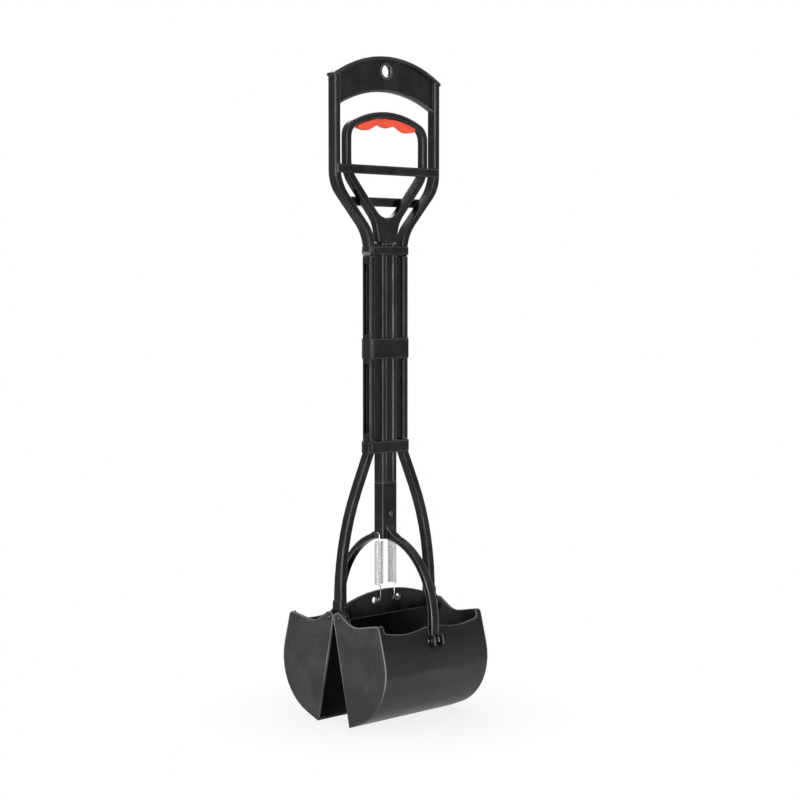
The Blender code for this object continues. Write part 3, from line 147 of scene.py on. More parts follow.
class ScooperStageSettings(bpy.types.PropertyGroup):
    """Camera, lamps and floor."""
    eye: FloatVectorProperty(
        name="Camera place", description="Where the camera stands",
        subtype="TRANSLATION", unit="LENGTH", size=3, default=(-1.4017, -1.4238, 0.4657))
    tilt: FloatVectorProperty(
        name="Camera turn", description="How the camera is turned",
        subtype="EULER", unit="ROTATION", size=3,
        default=(math.radians(86.36), 0.0, math.radians(-45)))
    lens: FloatProperty(
        name="Lens", description="Focal length in millimetres", min=10, default=84.2)
    key: FloatProperty(
        name="Key lamp", description="Power of the tall lamp at the front left, in watts",
        min=0, default=27)
    side: FloatProperty(
        name="Side lamp", description="Power of the tall lamp at the front right, in watts",
        min=0, default=20)
    over: FloatProperty(
        name="Top lamp", description="Power of the wide lamp overhead, in watts",
        min=0, default=4)
    back: FloatProperty(
        name="Back lamp", description="Power of the lamp above and behind, in watts",
        min=0, default=16)
    sky: FloatProperty(
        name="Room light", description="Strength of the light from the white room",
        min=0, default=0.20)


class ScooperSettings(bpy.types.PropertyGroup):
    """All that a user would change."""
    plastic: PointerProperty(type=ScooperPlasticSettings, name="Plastic",
                             description="Moulded parts")
    pad: PointerProperty(type=ScooperPadSettings, name="Pad", description="Soft finger pad")
    spring: PointerProperty(type=ScooperSpringSettings, name="Springs",
                            description="Tension springs")
    stage: PointerProperty(type=ScooperStageSettings, name="Stage",
                           description="Camera and lamps")


def settings():
    """The scene's own copy of the settings."""
    return bpy.context.scene.scooper


# Nodes

class Nodes:
    """Adds and joins the nodes of one material or world."""

    def __init__(self, tree):
        self.tree = tree

    def add(self, kind, **values):
        """A node with its settings."""
        node = self.tree.nodes.new(kind)
        for key, value in values.items():
            setattr(node, key, value)
        return node

    def feed(self, socket, value):
        """Gives a socket a number, a colour or another node's result."""
        if isinstance(value, bpy.types.NodeSocket):
            self.tree.links.new(value, socket)
        else:
            socket.default_value = value

    def maths(self, operation, first, second=0.0):
        """Two values put together."""
        node = self.add("ShaderNodeMath", operation=operation)
        self.feed(node.inputs[0], first)
        self.feed(node.inputs[1], second)
        return node.outputs[0]

    def times(self, first, second):
        """Two values multiplied."""
        return self.maths("MULTIPLY", first, second)

    def plus(self, first, second):
        """Two values added."""
        return self.maths("ADD", first, second)

    def spread(self, value, band, result=(0.0, 1.0)):
        """A value moved from one band of numbers to another and held inside it."""
        node = self.add("ShaderNodeMapRange")
        self.feed(node.inputs["Value"], value)
        for socket, number in zip(("From Min", "From Max", "To Min", "To Max"), band + result):
            node.inputs[socket].default_value = number
        return node.outputs["Result"]

    def seen(self):
        """1 where the eye sees the surface, also in metal or through glass, and 0 for light."""
        path = self.add("ShaderNodeLightPath")
        share = self.maths("MAXIMUM", path.outputs["Is Camera Ray"], path.outputs["Is Glossy Ray"])
        return self.maths("MAXIMUM", share, path.outputs["Is Transmission Ray"])


class Finish(Nodes):
    """One material and its nodes, from coordinates to shader."""

    EASE_SAMPLES = 8                # rays that find each eased edge, or the room round a place
    GLINT_SAMPLES = 4               # rays that find the edges of small metal parts
    RUBBED_AND_HIGHLIT_BAND = (0.62, 0.97)        # openness measured inside a part, at an edge and on a flat
    UPRIGHT_BAND = (0.12, 0.45)     # slope that counts as upright, and slope that doesn't
    TURN_BAND = (0.995, 0.86)       # likeness of eased and true direction, on a flat and an edge
    MIX_SHARE, MIX_FIRST, MIX_SECOND, MIX_RESULT = 0, 6, 7, 2   # colour sockets of a Mix node

    def __init__(self, name, **constants):
        self.material = bpy.data.materials.new(name)
        self.material.use_nodes = True
        super().__init__(self.material.node_tree)
        self.tree.nodes.clear()
        self.shader = self.add("ShaderNodeBsdfPrincipled")
        self.surface = self.add("ShaderNodeOutputMaterial").inputs["Surface"]
        self.feed(self.surface, self.shader.outputs["BSDF"])
        for socket, value in constants.items():
            self.shader.inputs[socket.replace("_", " ")].default_value = value
        self.place = self.add("ShaderNodeTexCoord").outputs["Object"]

    def along(self, vector, axis):
        """The share of a place or a direction along one axis."""
        node = self.add("ShaderNodeSeparateXYZ")
        self.feed(node.inputs[0], vector)
        return node.outputs[axis]

    def stretched(self, scale):
        """Coordinates stretched along the three axes."""
        node = self.add("ShaderNodeMapping")
        self.feed(node.inputs["Vector"], self.place)
        node.inputs["Scale"].default_value = scale
        return node.outputs["Vector"]

    def noise(self, size, detail=3.0, roughness=0.55, place=None):
        """Cloudy noise whose features are about this size."""
        node = self.add("ShaderNodeTexNoise")
        self.feed(node.inputs["Vector"], place or self.place)
        node.inputs["Scale"].default_value = 1 / size
        node.inputs["Detail"].default_value = detail
        node.inputs["Roughness"].default_value = roughness
        return node.outputs["Fac"]

    def pits(self, size):
        """Small round pits of about this size."""
        node = self.add("ShaderNodeTexVoronoi")
        self.feed(node.inputs["Vector"], self.place)
        node.inputs["Scale"].default_value = 1 / size
        return node.outputs["Distance"]

    def mixed(self, share, first, second):
        """Two colours mixed by a share."""
        node = self.add("ShaderNodeMix", data_type="RGBA")
        self.feed(node.inputs[self.MIX_SHARE], share)
        self.feed(node.inputs[self.MIX_FIRST], first)
        self.feed(node.inputs[self.MIX_SECOND], second)
        return node.outputs[self.MIX_RESULT]

    def marked(self, body, marks, band, share, colour):
        """A colour with marks of another where a noise goes through a band."""
        return self.mixed(self.spread(marks, band, (0.0, share)), body, colour)

    def bumped(self, height, strength, distance, normal=None):
        """A bump from a height."""
        node = self.add("ShaderNodeBump")
        node.inputs["Strength"].default_value = strength
        node.inputs["Distance"].default_value = distance
        self.feed(node.inputs["Height"], height)
        if normal is not None:
            self.feed(node.inputs["Normal"], normal)
        return node.outputs["Normal"]

    def eased(self, radius, samples=EASE_SAMPLES):
        """The surface's direction with its edges eased to a small round."""
        node = self.add("ShaderNodeBevel", samples=samples)
        node.inputs["Radius"].default_value = radius
        return node.outputs["Normal"]

    def openness(self, reach, inside=False):
        """How open a place is, from 0 to 1, or with inside, how thick the part is under it."""
        node = self.add("ShaderNodeAmbientOcclusion", samples=self.EASE_SAMPLES,
                        inside=inside, only_local=True)
        node.inputs["Distance"].default_value = reach
        return node.outputs["AO"]

    def rubbed_and_highlit_edges(self, reach):
        """Outer edges that get rubbing and a painted highlight, from 0 on a flat to 1 on the edge
        itself.
        """
        return self.spread(self.openness(reach, inside=True), self.RUBBED_AND_HIGHLIT_BAND, (1.0, 0.0))

    def upright(self, direction, least):
        """1 where the surface faces sideways, down to the least value where it turns up or down."""
        tilt = self.maths("ABSOLUTE", self.along(direction, "Z"))
        return self.spread(tilt, self.UPRIGHT_BAND, (1.0, least))

    def edges(self, radius):
        """Where the surface turns sharply, from 0 on a flat to 1 on an edge."""
        rounded = self.eased(radius, samples=self.GLINT_SAMPLES)
        plain = self.add("ShaderNodeNewGeometry").outputs["Normal"]
        node = self.add("ShaderNodeVectorMath", operation="DOT_PRODUCT")
        self.feed(node.inputs[0], rounded)
        self.feed(node.inputs[1], plain)
        return self.spread(node.outputs["Value"], self.TURN_BAND)

    def finish(self, colour, roughness, normal):
        """Feeds the shader and hands over the material."""
        self.feed(self.shader.inputs["Base Color"], colour)
        self.feed(self.shader.inputs["Roughness"], roughness)
        self.feed(self.shader.inputs["Normal"], normal)
        return self.material


def tone(colour, factor):
    """A lighter or darker copy of a colour, with alpha."""
    return tuple(min(1.0, c * factor) for c in colour) + (1.0,)


def tones(colour, factors):
    """The darkest and the lightest copy of a colour."""
    return [tone(colour, factor) for factor in factors]


# Materials
#
# Sizes and bumps are in metres. A tone is a multiple of the piece's own colour. A band is the
# two values of a noise, a height or an openness between which a mark comes in, and a share is
# how much of it is mixed in at most.

PLASTIC_IOR = 1.49
RUBBER_IOR = 1.50
CLOUD_BAND = (0.35, 0.65)
ROUGHNESS_BAND = (0.30, 0.70)
PATCH_BAND = (0.40, 0.62)
FINE_BUMP = 0.00005

BLACK_GLOSS = 0.172
BLACK_ROUGHNESS = (0.20, 0.27)
BLACK_CLOUDS = 0.035
BLACK_EASE = 0.0024                 # how widely the shading rounds the edges
CLOUD_BUMP = 0.0006
SMUDGE_SIZE = 0.024
SMUDGE_STRETCH = (1.0, 1.0, 0.7)
SMUDGE_BAND = (0.38, 0.62)
SMUDGE_TONES = (0.0, 3.8)
FLOW_SIZE = 0.004
FLOW_STRETCH = (1.0, 1.0, 0.12)
FLOW_BAND = (0.55, 0.75)
FLOW_SHARE = 0.35
FLOW_TONE = 5.0
FLOW_DULL_BAND = (0.40, 0.70)
FLOW_DULLING = 0.05
HANDLED_RUB_AND_HIGHLIGHT = (0.0011, 190.0)       # how far a rubbed, painted-highlight edge reaches in, and its tone
RUNNING_RUB_AND_HIGHLIGHT = (0.0016, 112.0)
RUB_AND_HIGHLIGHT_SHARE = 0.90
RUB_AND_HIGHLIGHT_PATCHES = (0.45, 1.0)
RUB_AND_HIGHLIGHT_TURNED = 0.20                   # what is left of the rub and painted highlight on edges that lie flat
CORNER_DEPTH = (0.0046, 0.0060)     # from the middle to where the shaft's corners begin
SLOT_RUB_AND_HIGHLIGHT = 0.12                     # what is left of the rub and painted highlight away from those corners

JAW_GLOSS = 0.09
JAW_ROUGHNESS = (0.34, 0.42)
JAW_CLOUDS = 0.045
JAW_TONES = (0.90, 1.10)
JAW_EASE = 0.0011
PEEL_SIZE = 0.0011
PEEL_BUMP = 0.00010
SCUFF_SIZE = 0.012
SCUFF_STRETCH = (0.10, 1.0, 1.0)
SCUFF_BAND = (0.56, 0.72)
SCUFF_SHARE = 0.26
SCUFF_TONE = 1.9
SCUFF_DULL_BAND = (0.55, 0.75)
SCUFF_DULLING = 0.06
STAIN_SIZE = 0.030
STAIN_STRETCH = (0.12, 1.0, 1.0)
STAIN_SHARE = 0.55
STAIN_TONE = 0.55
WALL_BAND = (0.30, 0.70)            # how squarely a surface faces the front or the back
TOP_SHADE_STEP = (0.054, 0.061)         # heights over which a first step of painted shade darkens the wall
TOP_SHADE_STEP_SHARE = 0.30
TOP_SHADE_RISE = (0.058, 0.092)
TOP_SHADE_RISE_SHARE = 0.70
TOP_SHADE_SHARE = 0.90
TOP_SHADE_TONE = 0.17
# Paler rims: partly rubbing, mostly a painted highlight
RIM_RUB_AND_HIGHLIGHT = 0.0015
RIM_BAND = (0.40, 0.60)
RIM_PATCHES = (0.3, 1.0)
RIM_RISE = (0.034, 0.054)           # heights over which the rims get their rub and painted highlight
RIM_LOW = 0.22
RIM_TURNED = 0.40
RIM_SHARE = 0.85
RIM_TONE = 7.5
# Painted shade deep inside the jaws, which are also made duller there
HOLLOW_REACH = 0.11
HOLLOW_BAND = (0.74, 0.975)         # openness deep in the jaws, and near their rims
HOLLOW_SHADE_SHARE = 0.95
HOLLOW_SHADE_TONE = 0.06
HOLLOW_DULLING = 0.45

RUBBER_GLOSS = 0.38
RUBBER_ROUGHNESS = (0.44, 0.56)
RUBBER_GLOW = 0.12
RUBBER_GLOW_DEPTH = (0.0030, 0.0010, 0.0006)
RUBBER_CLOUDS = 0.012
RUBBER_TONES = (0.93, 1.04)
PIT_SIZE = 0.00060
PIT_BUMP = 0.00010
SKIN_SIZE = 0.00030

ZINC = ((0.42, 0.42, 0.44), 0.30)           # colour and roughness
OILED_STEEL = ((0.055, 0.055, 0.058), 0.24)
SPRING_WIRE = ((0.74, 0.74, 0.75), 0.24)
BLACKENED_STEEL = ((0.085, 0.085, 0.09), 0.40)
TURNED_MARKS = (0.0006, 0.0012)             # sizes of streaks and speckles
WIRE_MARKS = (0.0004, 0.0009)
SCREW_MARKS = (0.0006, 0.0010)
SPOT_BAND = (0.38, 0.66)
SPOT_TONES = (0.80, 1.06)
SPOT_ROUGHNESS = (0.8, 1.25)                # multiples of the metal's roughness
STREAK_STRETCH = (1.0, 1.0, 6.0)
STREAK_BAND = (0.40, 0.65)
STREAK_DULLING = 0.06
STREAK_BUMP = 0.00003
GLINT = (0.62, 0.62, 0.63, 1.0)
GLINT_RADIUS = 0.0003
SCREW_GLINT = 0.15


def black_plastic(name, corners_only=False):
    """Satin black polypropylene: fine grain, soft smudges, flow marks, and edges made paler
    partly by rubbing and mostly by a painted highlight on upright edges.

    With corners_only the rubbing and painted highlight keep to the front and back corners,
    away from the slots.
    """
    look = settings().plastic
    reach, rub_and_highlight_tone = RUNNING_RUB_AND_HIGHLIGHT if corners_only else HANDLED_RUB_AND_HIGHLIGHT
    made = Finish(name, IOR=PLASTIC_IOR, Specular_IOR_Level=BLACK_GLOSS)
    clouds = made.noise(BLACK_CLOUDS, detail=4.0)
    smudges = made.noise(SMUDGE_SIZE, detail=3.0, place=made.stretched(SMUDGE_STRETCH))
    flow = made.noise(FLOW_SIZE, detail=2.0, place=made.stretched(FLOW_STRETCH))
    grain = made.noise(look.grain, detail=2.0, roughness=0.7)
    body = made.mixed(made.spread(smudges, SMUDGE_BAND), *tones(look.black, SMUDGE_TONES))
    body = made.marked(body, flow, FLOW_BAND, FLOW_SHARE, tone(look.black, FLOW_TONE))
    # Paler edges: partly rubbing, mostly a painted highlight, kept mostly to upright edges
    rub_and_highlight = made.times(made.rubbed_and_highlit_edges(reach), made.spread(clouds, PATCH_BAND, RUB_AND_HIGHLIGHT_PATCHES))
    rounded = made.eased(BLACK_EASE)
    rub_and_highlight = made.times(rub_and_highlight, made.upright(rounded, RUB_AND_HIGHLIGHT_TURNED))
    if corners_only:
        depth = made.maths("ABSOLUTE", made.along(made.place, "Y"))
        rub_and_highlight = made.times(rub_and_highlight, made.spread(depth, CORNER_DEPTH, (SLOT_RUB_AND_HIGHLIGHT, 1.0)))
    body = made.mixed(made.times(rub_and_highlight, RUB_AND_HIGHLIGHT_SHARE), body, tone(look.black, rub_and_highlight_tone))
    shine = made.plus(made.spread(clouds, ROUGHNESS_BAND, BLACK_ROUGHNESS),
                      made.spread(flow, FLOW_DULL_BAND, (0.0, FLOW_DULLING)))
    surface = made.bumped(grain, strength=0.06, distance=FINE_BUMP, normal=rounded)
    surface = made.bumped(clouds, strength=0.10, distance=CLOUD_BUMP, normal=surface)
    return made.finish(body, shine, surface)


def grey_plastic():
    """Matt charcoal plastic of the jaws: orange-peel grain, faint scuffs, and rims made paler
    partly by rubbing and mostly by a painted highlight.

    The curved walls carry a painted shade that darkens them towards the top, and a painted
    shade makes the insides dark; the insides are dull too.
    """
    look = settings().plastic
    made = Finish("matt_charcoal_plastic", IOR=PLASTIC_IOR, Specular_IOR_Level=JAW_GLOSS)
    clouds = made.noise(JAW_CLOUDS, detail=4.0)
    peel = made.noise(PEEL_SIZE, detail=2.0, roughness=0.5)
    grain = made.noise(look.grain, detail=1.0, roughness=0.6)
    scuff = made.noise(SCUFF_SIZE, detail=5.0, roughness=0.62, place=made.stretched(SCUFF_STRETCH))
    stain = made.noise(STAIN_SIZE, detail=2.0, place=made.stretched(STAIN_STRETCH))
    body = made.mixed(made.spread(clouds, CLOUD_BAND), *tones(look.grey, JAW_TONES))
    body = made.mixed(made.spread(stain, PATCH_BAND, (STAIN_SHARE, 0.0)),
                      body, tone(look.grey, STAIN_TONE))
    body = made.marked(body, scuff, SCUFF_BAND, SCUFF_SHARE, tone(look.grey, SCUFF_TONE))
    height = made.along(made.place, "Z")
    rounded = made.eased(JAW_EASE)
    sideways = made.maths("ABSOLUTE", made.along(rounded, "Y"))
    # Painted shade: walls facing the front and back darken towards the top
    top_shade = made.plus(made.spread(height, TOP_SHADE_STEP, (0.0, TOP_SHADE_STEP_SHARE)),
                      made.spread(height, TOP_SHADE_RISE, (0.0, TOP_SHADE_RISE_SHARE)))
    top_shade = made.times(top_shade, made.spread(sideways, WALL_BAND, (0.0, TOP_SHADE_SHARE)))
    body = made.mixed(top_shade, body, tone(look.grey, TOP_SHADE_TONE))
    # Paler rims: partly rubbing, mostly a painted highlight, weaker low down and on flat-lying
    # edges
    rub_and_highlight = made.times(made.rubbed_and_highlit_edges(RIM_RUB_AND_HIGHLIGHT), made.spread(clouds, RIM_BAND, RIM_PATCHES))
    rub_and_highlight = made.times(rub_and_highlight, made.spread(height, RIM_RISE, (RIM_LOW, 1.0)))
    rub_and_highlight = made.times(rub_and_highlight, made.upright(rounded, RIM_TURNED))
    body = made.mixed(made.times(rub_and_highlight, RIM_SHARE), body, tone(look.grey, RIM_TONE))
    # Painted shade: the insides of the jaws darken where they are hollow
    hollow_shade = made.spread(made.openness(HOLLOW_REACH), HOLLOW_BAND, (1.0, 0.0))
    body = made.mixed(made.times(hollow_shade, HOLLOW_SHADE_SHARE), body, tone(look.grey, HOLLOW_SHADE_TONE))
    shine = made.plus(made.spread(clouds, ROUGHNESS_BAND, JAW_ROUGHNESS),
                      made.spread(scuff, SCUFF_DULL_BAND, (0.0, SCUFF_DULLING)))
    shine = made.plus(shine, made.times(hollow_shade, HOLLOW_DULLING))
    surface = made.bumped(peel, strength=0.12, distance=PEEL_BUMP, normal=rounded)
    surface = made.bumped(grain, strength=0.12, distance=FINE_BUMP, normal=surface)
    return made.finish(body, shine, surface)


def pad_rubber():
    """Soft red rubber with a dry, finely pitted skin."""
    look = settings().pad
    made = Finish("soft_red_rubber", IOR=RUBBER_IOR, Specular_IOR_Level=RUBBER_GLOSS,
                  Subsurface_Weight=RUBBER_GLOW, Subsurface_Radius=RUBBER_GLOW_DEPTH)
    clouds = made.noise(RUBBER_CLOUDS, detail=4.0)
    pits = made.pits(PIT_SIZE)
    skin = made.noise(SKIN_SIZE, detail=2.0)
    body = made.mixed(made.spread(clouds, CLOUD_BAND), *tones(look.colour, RUBBER_TONES))
    shine = made.spread(clouds, ROUGHNESS_BAND, RUBBER_ROUGHNESS)
    surface = made.bumped(pits, strength=0.18, distance=PIT_BUMP)
    surface = made.bumped(skin, strength=0.12, distance=FINE_BUMP, normal=surface)
    return made.finish(body, shine, surface)


def metal(name, kind, marks, edge_shine=0.0):
    """A drawn or turned metal: fine streaks, small speckles and, with edge_shine, a painted glint
    on its edges.
    """
    colour, roughness = kind
    streak, speckle = marks
    made = Finish(name, Metallic=1.0)
    lines = made.noise(streak, detail=3.0, place=made.stretched(STREAK_STRETCH))
    spots = made.noise(speckle, detail=4.0, roughness=0.7)
    body = made.mixed(made.spread(spots, SPOT_BAND), *tones(colour, SPOT_TONES))
    # Painted glint: a pale colour along the edges
    if edge_shine:
        body = made.mixed(made.times(made.edges(GLINT_RADIUS), edge_shine), body, GLINT)
    smooth, rough = (roughness * share for share in SPOT_ROUGHNESS)
    shine = made.plus(made.spread(spots, CLOUD_BAND, (smooth, rough)),
                      made.spread(lines, STREAK_BAND, (0.0, STREAK_DULLING)))
    surface = made.bumped(lines, strength=0.10, distance=STREAK_BUMP)
    return made.finish(body, shine, surface)


# Shapes

WELD_REACH = 0.000004
FLAT_ANGLE = 0.6            # degrees that still count as one flat
BEVEL_STEPS = 2
PLASTIC_SHARP = 33          # degrees from which an edge is softened
PIN_SHARP = 50
PIN_EDGE = 0.00015
NORMAL_WEIGHT = 60

WIRE_SIDES = 12
WIRE_ENDS = ((-0.85, 0.45), (-0.45, 0.85))      # rounded tip: length and width, in radii

PAD_STATIONS = 90           # rings along the pad
PAD_AROUND = 36             # points in each ring
PAD_CROWDING = 0.35         # how far the rings gather at the ends
PAD_TIP = 0.0045            # length of the rounded tips
PAD_LEAST = 0.0002          # half the height and depth that are left at the very tip
TAIL_LOSS = 0.45            # share of the thickness lost at the ends
TIP_HEIGHT = 0.35           # shares of the height and depth left at the tips
TIP_DEPTH = 0.45
TIP_END = 0.9               # and of the height in the last ring
TIP_LIFT = 0.6              # how much of the lost height comes off below
SIDE_POWER = 0.55           # roundness of the section: sides, top and underside
TOP_POWER = 0.42
UNDER_POWER = 0.72

FOOT_HOOK_RADIUS = 0.0029
PIN_HOOK_RADIUS = 0.00235
HOOK_CLEARANCE = 0.0003
HOOK_TURN = 200             # degrees that each hook goes round
HOOK_STEPS = 16
COIL_STEPS = 20             # points in each turn

SCREW_RINGS = 22
SCREW_SECTORS = 72
SCREW_HEAD = 0.0018
SCREW_SHANK = 0.0015
SCREW_DOME = 0.38           # share of the head's height that is domed
SCREW_BORDER = 0.9          # share of the radius where the border turns down
SCREW_DROP = 0.30           # share of the head's height that the border drops
CROSS_HALF = 0.00042
CROSS_REACH = 0.0017
CROSS_DEPTH = 0.0009
CROSS_SLOPE = 0.0006        # length of the slope at the end of each arm
SEAT_EDGE = 0.98            # share of the radius where the underside is rounded
SEAT_ROUND = 0.0001


def soften(node, width, sharp=PLASTIC_SHARP):
    """Rounds a rigid part's edges and shades it smoothly, without touching its own mesh."""
    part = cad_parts[node]
    smooth = [True] * len(part.data.polygons)
    part.data.polygons.foreach_set("use_smooth", smooth)
    weld = part.modifiers.new("weld", "WELD")
    weld.merge_threshold = WELD_REACH
    flat = part.modifiers.new("flats", "DECIMATE")
    flat.decimate_type = "DISSOLVE"
    flat.angle_limit = math.radians(FLAT_ANGLE)
    bevel = part.modifiers.new("edges", "BEVEL")
    bevel.width = width
    bevel.segments = BEVEL_STEPS
    bevel.limit_method = "ANGLE"
    bevel.angle_limit = math.radians(sharp)
    bevel.use_clamp_overlap = True
    normals = part.modifiers.new("normals", "WEIGHTED_NORMAL")
    normals.keep_sharp = False
    normals.weight = NORMAL_WEIGHT


def dress(node, material):
    """Gives a rigid part its finish."""
    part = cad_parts[node]
    part.data.materials.clear()
    part.data.materials.append(material)


def mesh_piece(name, build, material, body, slot, *stands_for):
    """Makes a piece from a mesh builder, and sets its finish and body. The slot is not used."""
    mesh = bpy.data.meshes.new(name)
    shape = bmesh.new()
    build(shape)
    bmesh.ops.recalc_face_normals(shape, faces=shape.faces)
    shape.to_mesh(mesh)
    shape.free()
    for polygon in mesh.polygons:
        polygon.use_smooth = True
    piece = bpy.data.objects.new(name, mesh)
    bpy.context.scene.collection.objects.link(piece)
    mesh.materials.append(material)
    if stands_for:
        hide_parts(*stands_for)
    if body:
        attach(piece, body)
    return piece


def bridge_rings(shape, rings, closed_ends=True):
    """Joins rings of the same number of points, and closes the two ends."""
    loops = [[shape.verts.new(spot) for spot in ring] for ring in rings]
    for first, second in zip(loops, loops[1:]):
        count = len(first)
        for i in range(count):
            follow = (i + 1) % count
            shape.faces.new((first[i], first[follow], second[follow], second[i]))
    if closed_ends:
        shape.faces.new(loops[0][::-1])
        shape.faces.new(loops[-1])
    return loops


def sweep(shape, points, radius):
    """A round wire along a line of points, with rounded-off ends."""
    line = [Vector(p) for p in points]
    last = len(line) - 1
    tangents = [(line[min(i + 1, last)] - line[max(i - 1, 0)]).normalized()
                for i in range(len(line))]
    normal = tangents[0].orthogonal().normalized()
    rings = []
    for i, (spot, tangent) in enumerate(zip(line, tangents)):
        normal = (normal - tangent * normal.dot(tangent)).normalized()
        across = tangent.cross(normal)

        def ring(centre, size):
            return [centre + size * (math.cos(math.tau * k / WIRE_SIDES) * normal
                                     + math.sin(math.tau * k / WIRE_SIDES) * across)
                    for k in range(WIRE_SIDES)]

        if i == 0:
            rings += [ring(spot + tangent * radius * along, radius * wide)
                      for along, wide in WIRE_ENDS]
        rings.append(ring(spot, radius))
        if i == last:
            rings += [ring(spot - tangent * radius * along, radius * wide)
                      for along, wide in WIRE_ENDS[::-1]]
    bridge_rings(shape, rings)


def powered(value, power):
    """A sine or cosine bent by a power, with its sign kept."""
    return math.copysign(abs(value) ** power, value)


def pad_section(look, x, half, depth, top_z):
    """One ring of the pad's surface, at this place along the bar."""
    over = max(0.0, (abs(x) - (half - PAD_TIP)) / PAD_TIP)
    shrink = math.sqrt(max(0.0, 1 - min(1.0, over) ** 2))
    top = top_z - (look.crown - math.sqrt(look.crown ** 2 - x * x))
    thickness = look.thickness + look.wave * math.cos(math.tau * x / look.lobe)
    tail = max(0.0, 1 - (half - abs(x)) / look.tail)
    thickness *= 1 - TAIL_LOSS * tail * tail
    middle = top - thickness / 2
    tall = thickness / 2 * (TIP_HEIGHT + (1 - TIP_HEIGHT) * shrink) * (1 if over < 1 else TIP_END)
    tall = max(tall, PAD_LEAST)
    deep = max(depth / 2 * (TIP_DEPTH + (1 - TIP_DEPTH) * shrink), PAD_LEAST)
    middle += (thickness / 2 - tall) * TIP_LIFT
    ring = []
    for k in range(PAD_AROUND):
        angle = math.tau * k / PAD_AROUND
        c, s = math.cos(angle), math.sin(angle)
        ring.append(Vector((x, powered(c, SIDE_POWER) * deep,
                            middle + powered(s, TOP_POWER if s > 0 else UNDER_POWER) * tall)))
    return ring


def finger_pad_mesh(shape):
    """The pad's skin: flat against the bar, rounded under the fingers, with three lobes."""
    look = settings().pad
    low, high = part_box("finger_pad")
    half = (high.x - low.x) / 2
    rings = []
    for i in range(PAD_STATIONS + 1):
        gathered = -math.cos(math.pi * i / PAD_STATIONS)
        even = 2 * i / PAD_STATIONS - 1
        x = half * (PAD_CROWDING * gathered + (1 - PAD_CROWDING) * even)
        rings.append(pad_section(look, x, half, high.y - low.y, high.z))
    bridge_rings(shape, rings)


def spring_line(side):
    """The middle line of one spring: hook through the bridge plate, coil, hook over the pin."""
    look = settings().spring
    hanger_low, hanger_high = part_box("spring_hanger_pin")
    spring_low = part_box("left_spring")[0]
    pin_z = (hanger_low.z + hanger_high.z) / 2
    pin_x = hanger_high.x - look.head - HOOK_CLEARANCE - look.wire
    foot_z = spring_low.z + look.wire + FOOT_HOOK_RADIUS
    turn = math.radians(HOOK_TURN)
    start = math.atan2(-FOOT_HOOK_RADIUS, pin_x - look.spread)
    points = []
    for i in range(HOOK_STEPS + 1):
        angle = math.pi + turn * (1 - i / HOOK_STEPS)
        points.append((look.hook, FOOT_HOOK_RADIUS * math.cos(angle),
                       foot_z + FOOT_HOOK_RADIUS * math.sin(angle)))
    rim = (look.spread + look.coil * math.cos(start), look.coil * math.sin(start))
    lead = 2 * look.pitch
    points.append((look.hook, -FOOT_HOOK_RADIUS, look.low - lead))
    points.append(((look.hook + rim[0]) / 2, (-FOOT_HOOK_RADIUS + rim[1]) / 2,
                   look.low - lead / 3))
    for i in range(look.turns * COIL_STEPS + 1):
        angle = start + math.tau * i / COIL_STEPS
        points.append((look.spread + look.coil * math.cos(angle), look.coil * math.sin(angle),
                       look.low + look.pitch * i / COIL_STEPS))
    coil_top = look.low + look.pitch * look.turns
    points.append(((pin_x + rim[0]) / 2, (-PIN_HOOK_RADIUS + rim[1]) / 2, coil_top + lead / 3))
    points.append((pin_x, -PIN_HOOK_RADIUS, coil_top + lead))
    for i in range(HOOK_STEPS + 1):
        angle = math.pi - turn * i / HOOK_STEPS
        points.append((pin_x, PIN_HOOK_RADIUS * math.cos(angle),
                       pin_z + PIN_HOOK_RADIUS * math.sin(angle)))
    return [(side * x, y, z) for x, y, z in points]


def screw_face(r, angle, radius):
    """Height of the screw's domed face over its seat, with the cross recess cut into it."""
    height = SCREW_HEAD * (1 - SCREW_DOME
                           + SCREW_DOME * math.sqrt(max(0.0, 1 - (r / radius) ** 2)))
    if r > radius * SCREW_BORDER:
        height -= SCREW_HEAD * SCREW_DROP * ((r / radius - SCREW_BORDER) / (1 - SCREW_BORDER)) ** 2
    x, z = abs(r * math.cos(angle)), abs(r * math.sin(angle))
    across, along = min(x, z), max(x, z)
    if across < CROSS_HALF and along < CROSS_REACH:
        height -= CROSS_DEPTH * min(1.0, (CROSS_REACH - along) / CROSS_SLOPE)
    return height


def screw_mesh(shape):
    """A domed screw head with a cross recess, over a short shank."""
    low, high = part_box("yoke_screw")
    radius = (high.x - low.x) / 2
    centre = Vector(((low.x + high.x) / 2, 0, (low.z + high.z) / 2))
    seat = low.y + SCREW_HEAD
    angles = [math.tau * k / SCREW_SECTORS for k in range(SCREW_SECTORS)]

    def ring(r, depth):
        return [centre + Vector((r * math.cos(angle), depth(angle), r * math.sin(angle)))
                for angle in angles]

    rings = [ring(r, lambda angle, y=y: y)
             for r, y in ((SCREW_SHANK, high.y), (SCREW_SHANK, seat),
                          (radius * SEAT_EDGE, seat), (radius, seat - SEAT_ROUND))]
    for i in range(SCREW_RINGS, 0, -1):
        r = radius * i / SCREW_RINGS
        rings.append(ring(r, lambda angle, r=r: seat - screw_face(r, angle, radius)))
    loops = bridge_rings(shape, rings, closed_ends=False)
    shape.faces.new(loops[0])
    middle = shape.verts.new(centre + Vector((0, seat - screw_face(0, 0, radius), 0)))
    inner = loops[-1]
    for i in range(SCREW_SECTORS):
        shape.faces.new((inner[i], inner[(i + 1) % SCREW_SECTORS], middle))


# One operator for each group of pieces

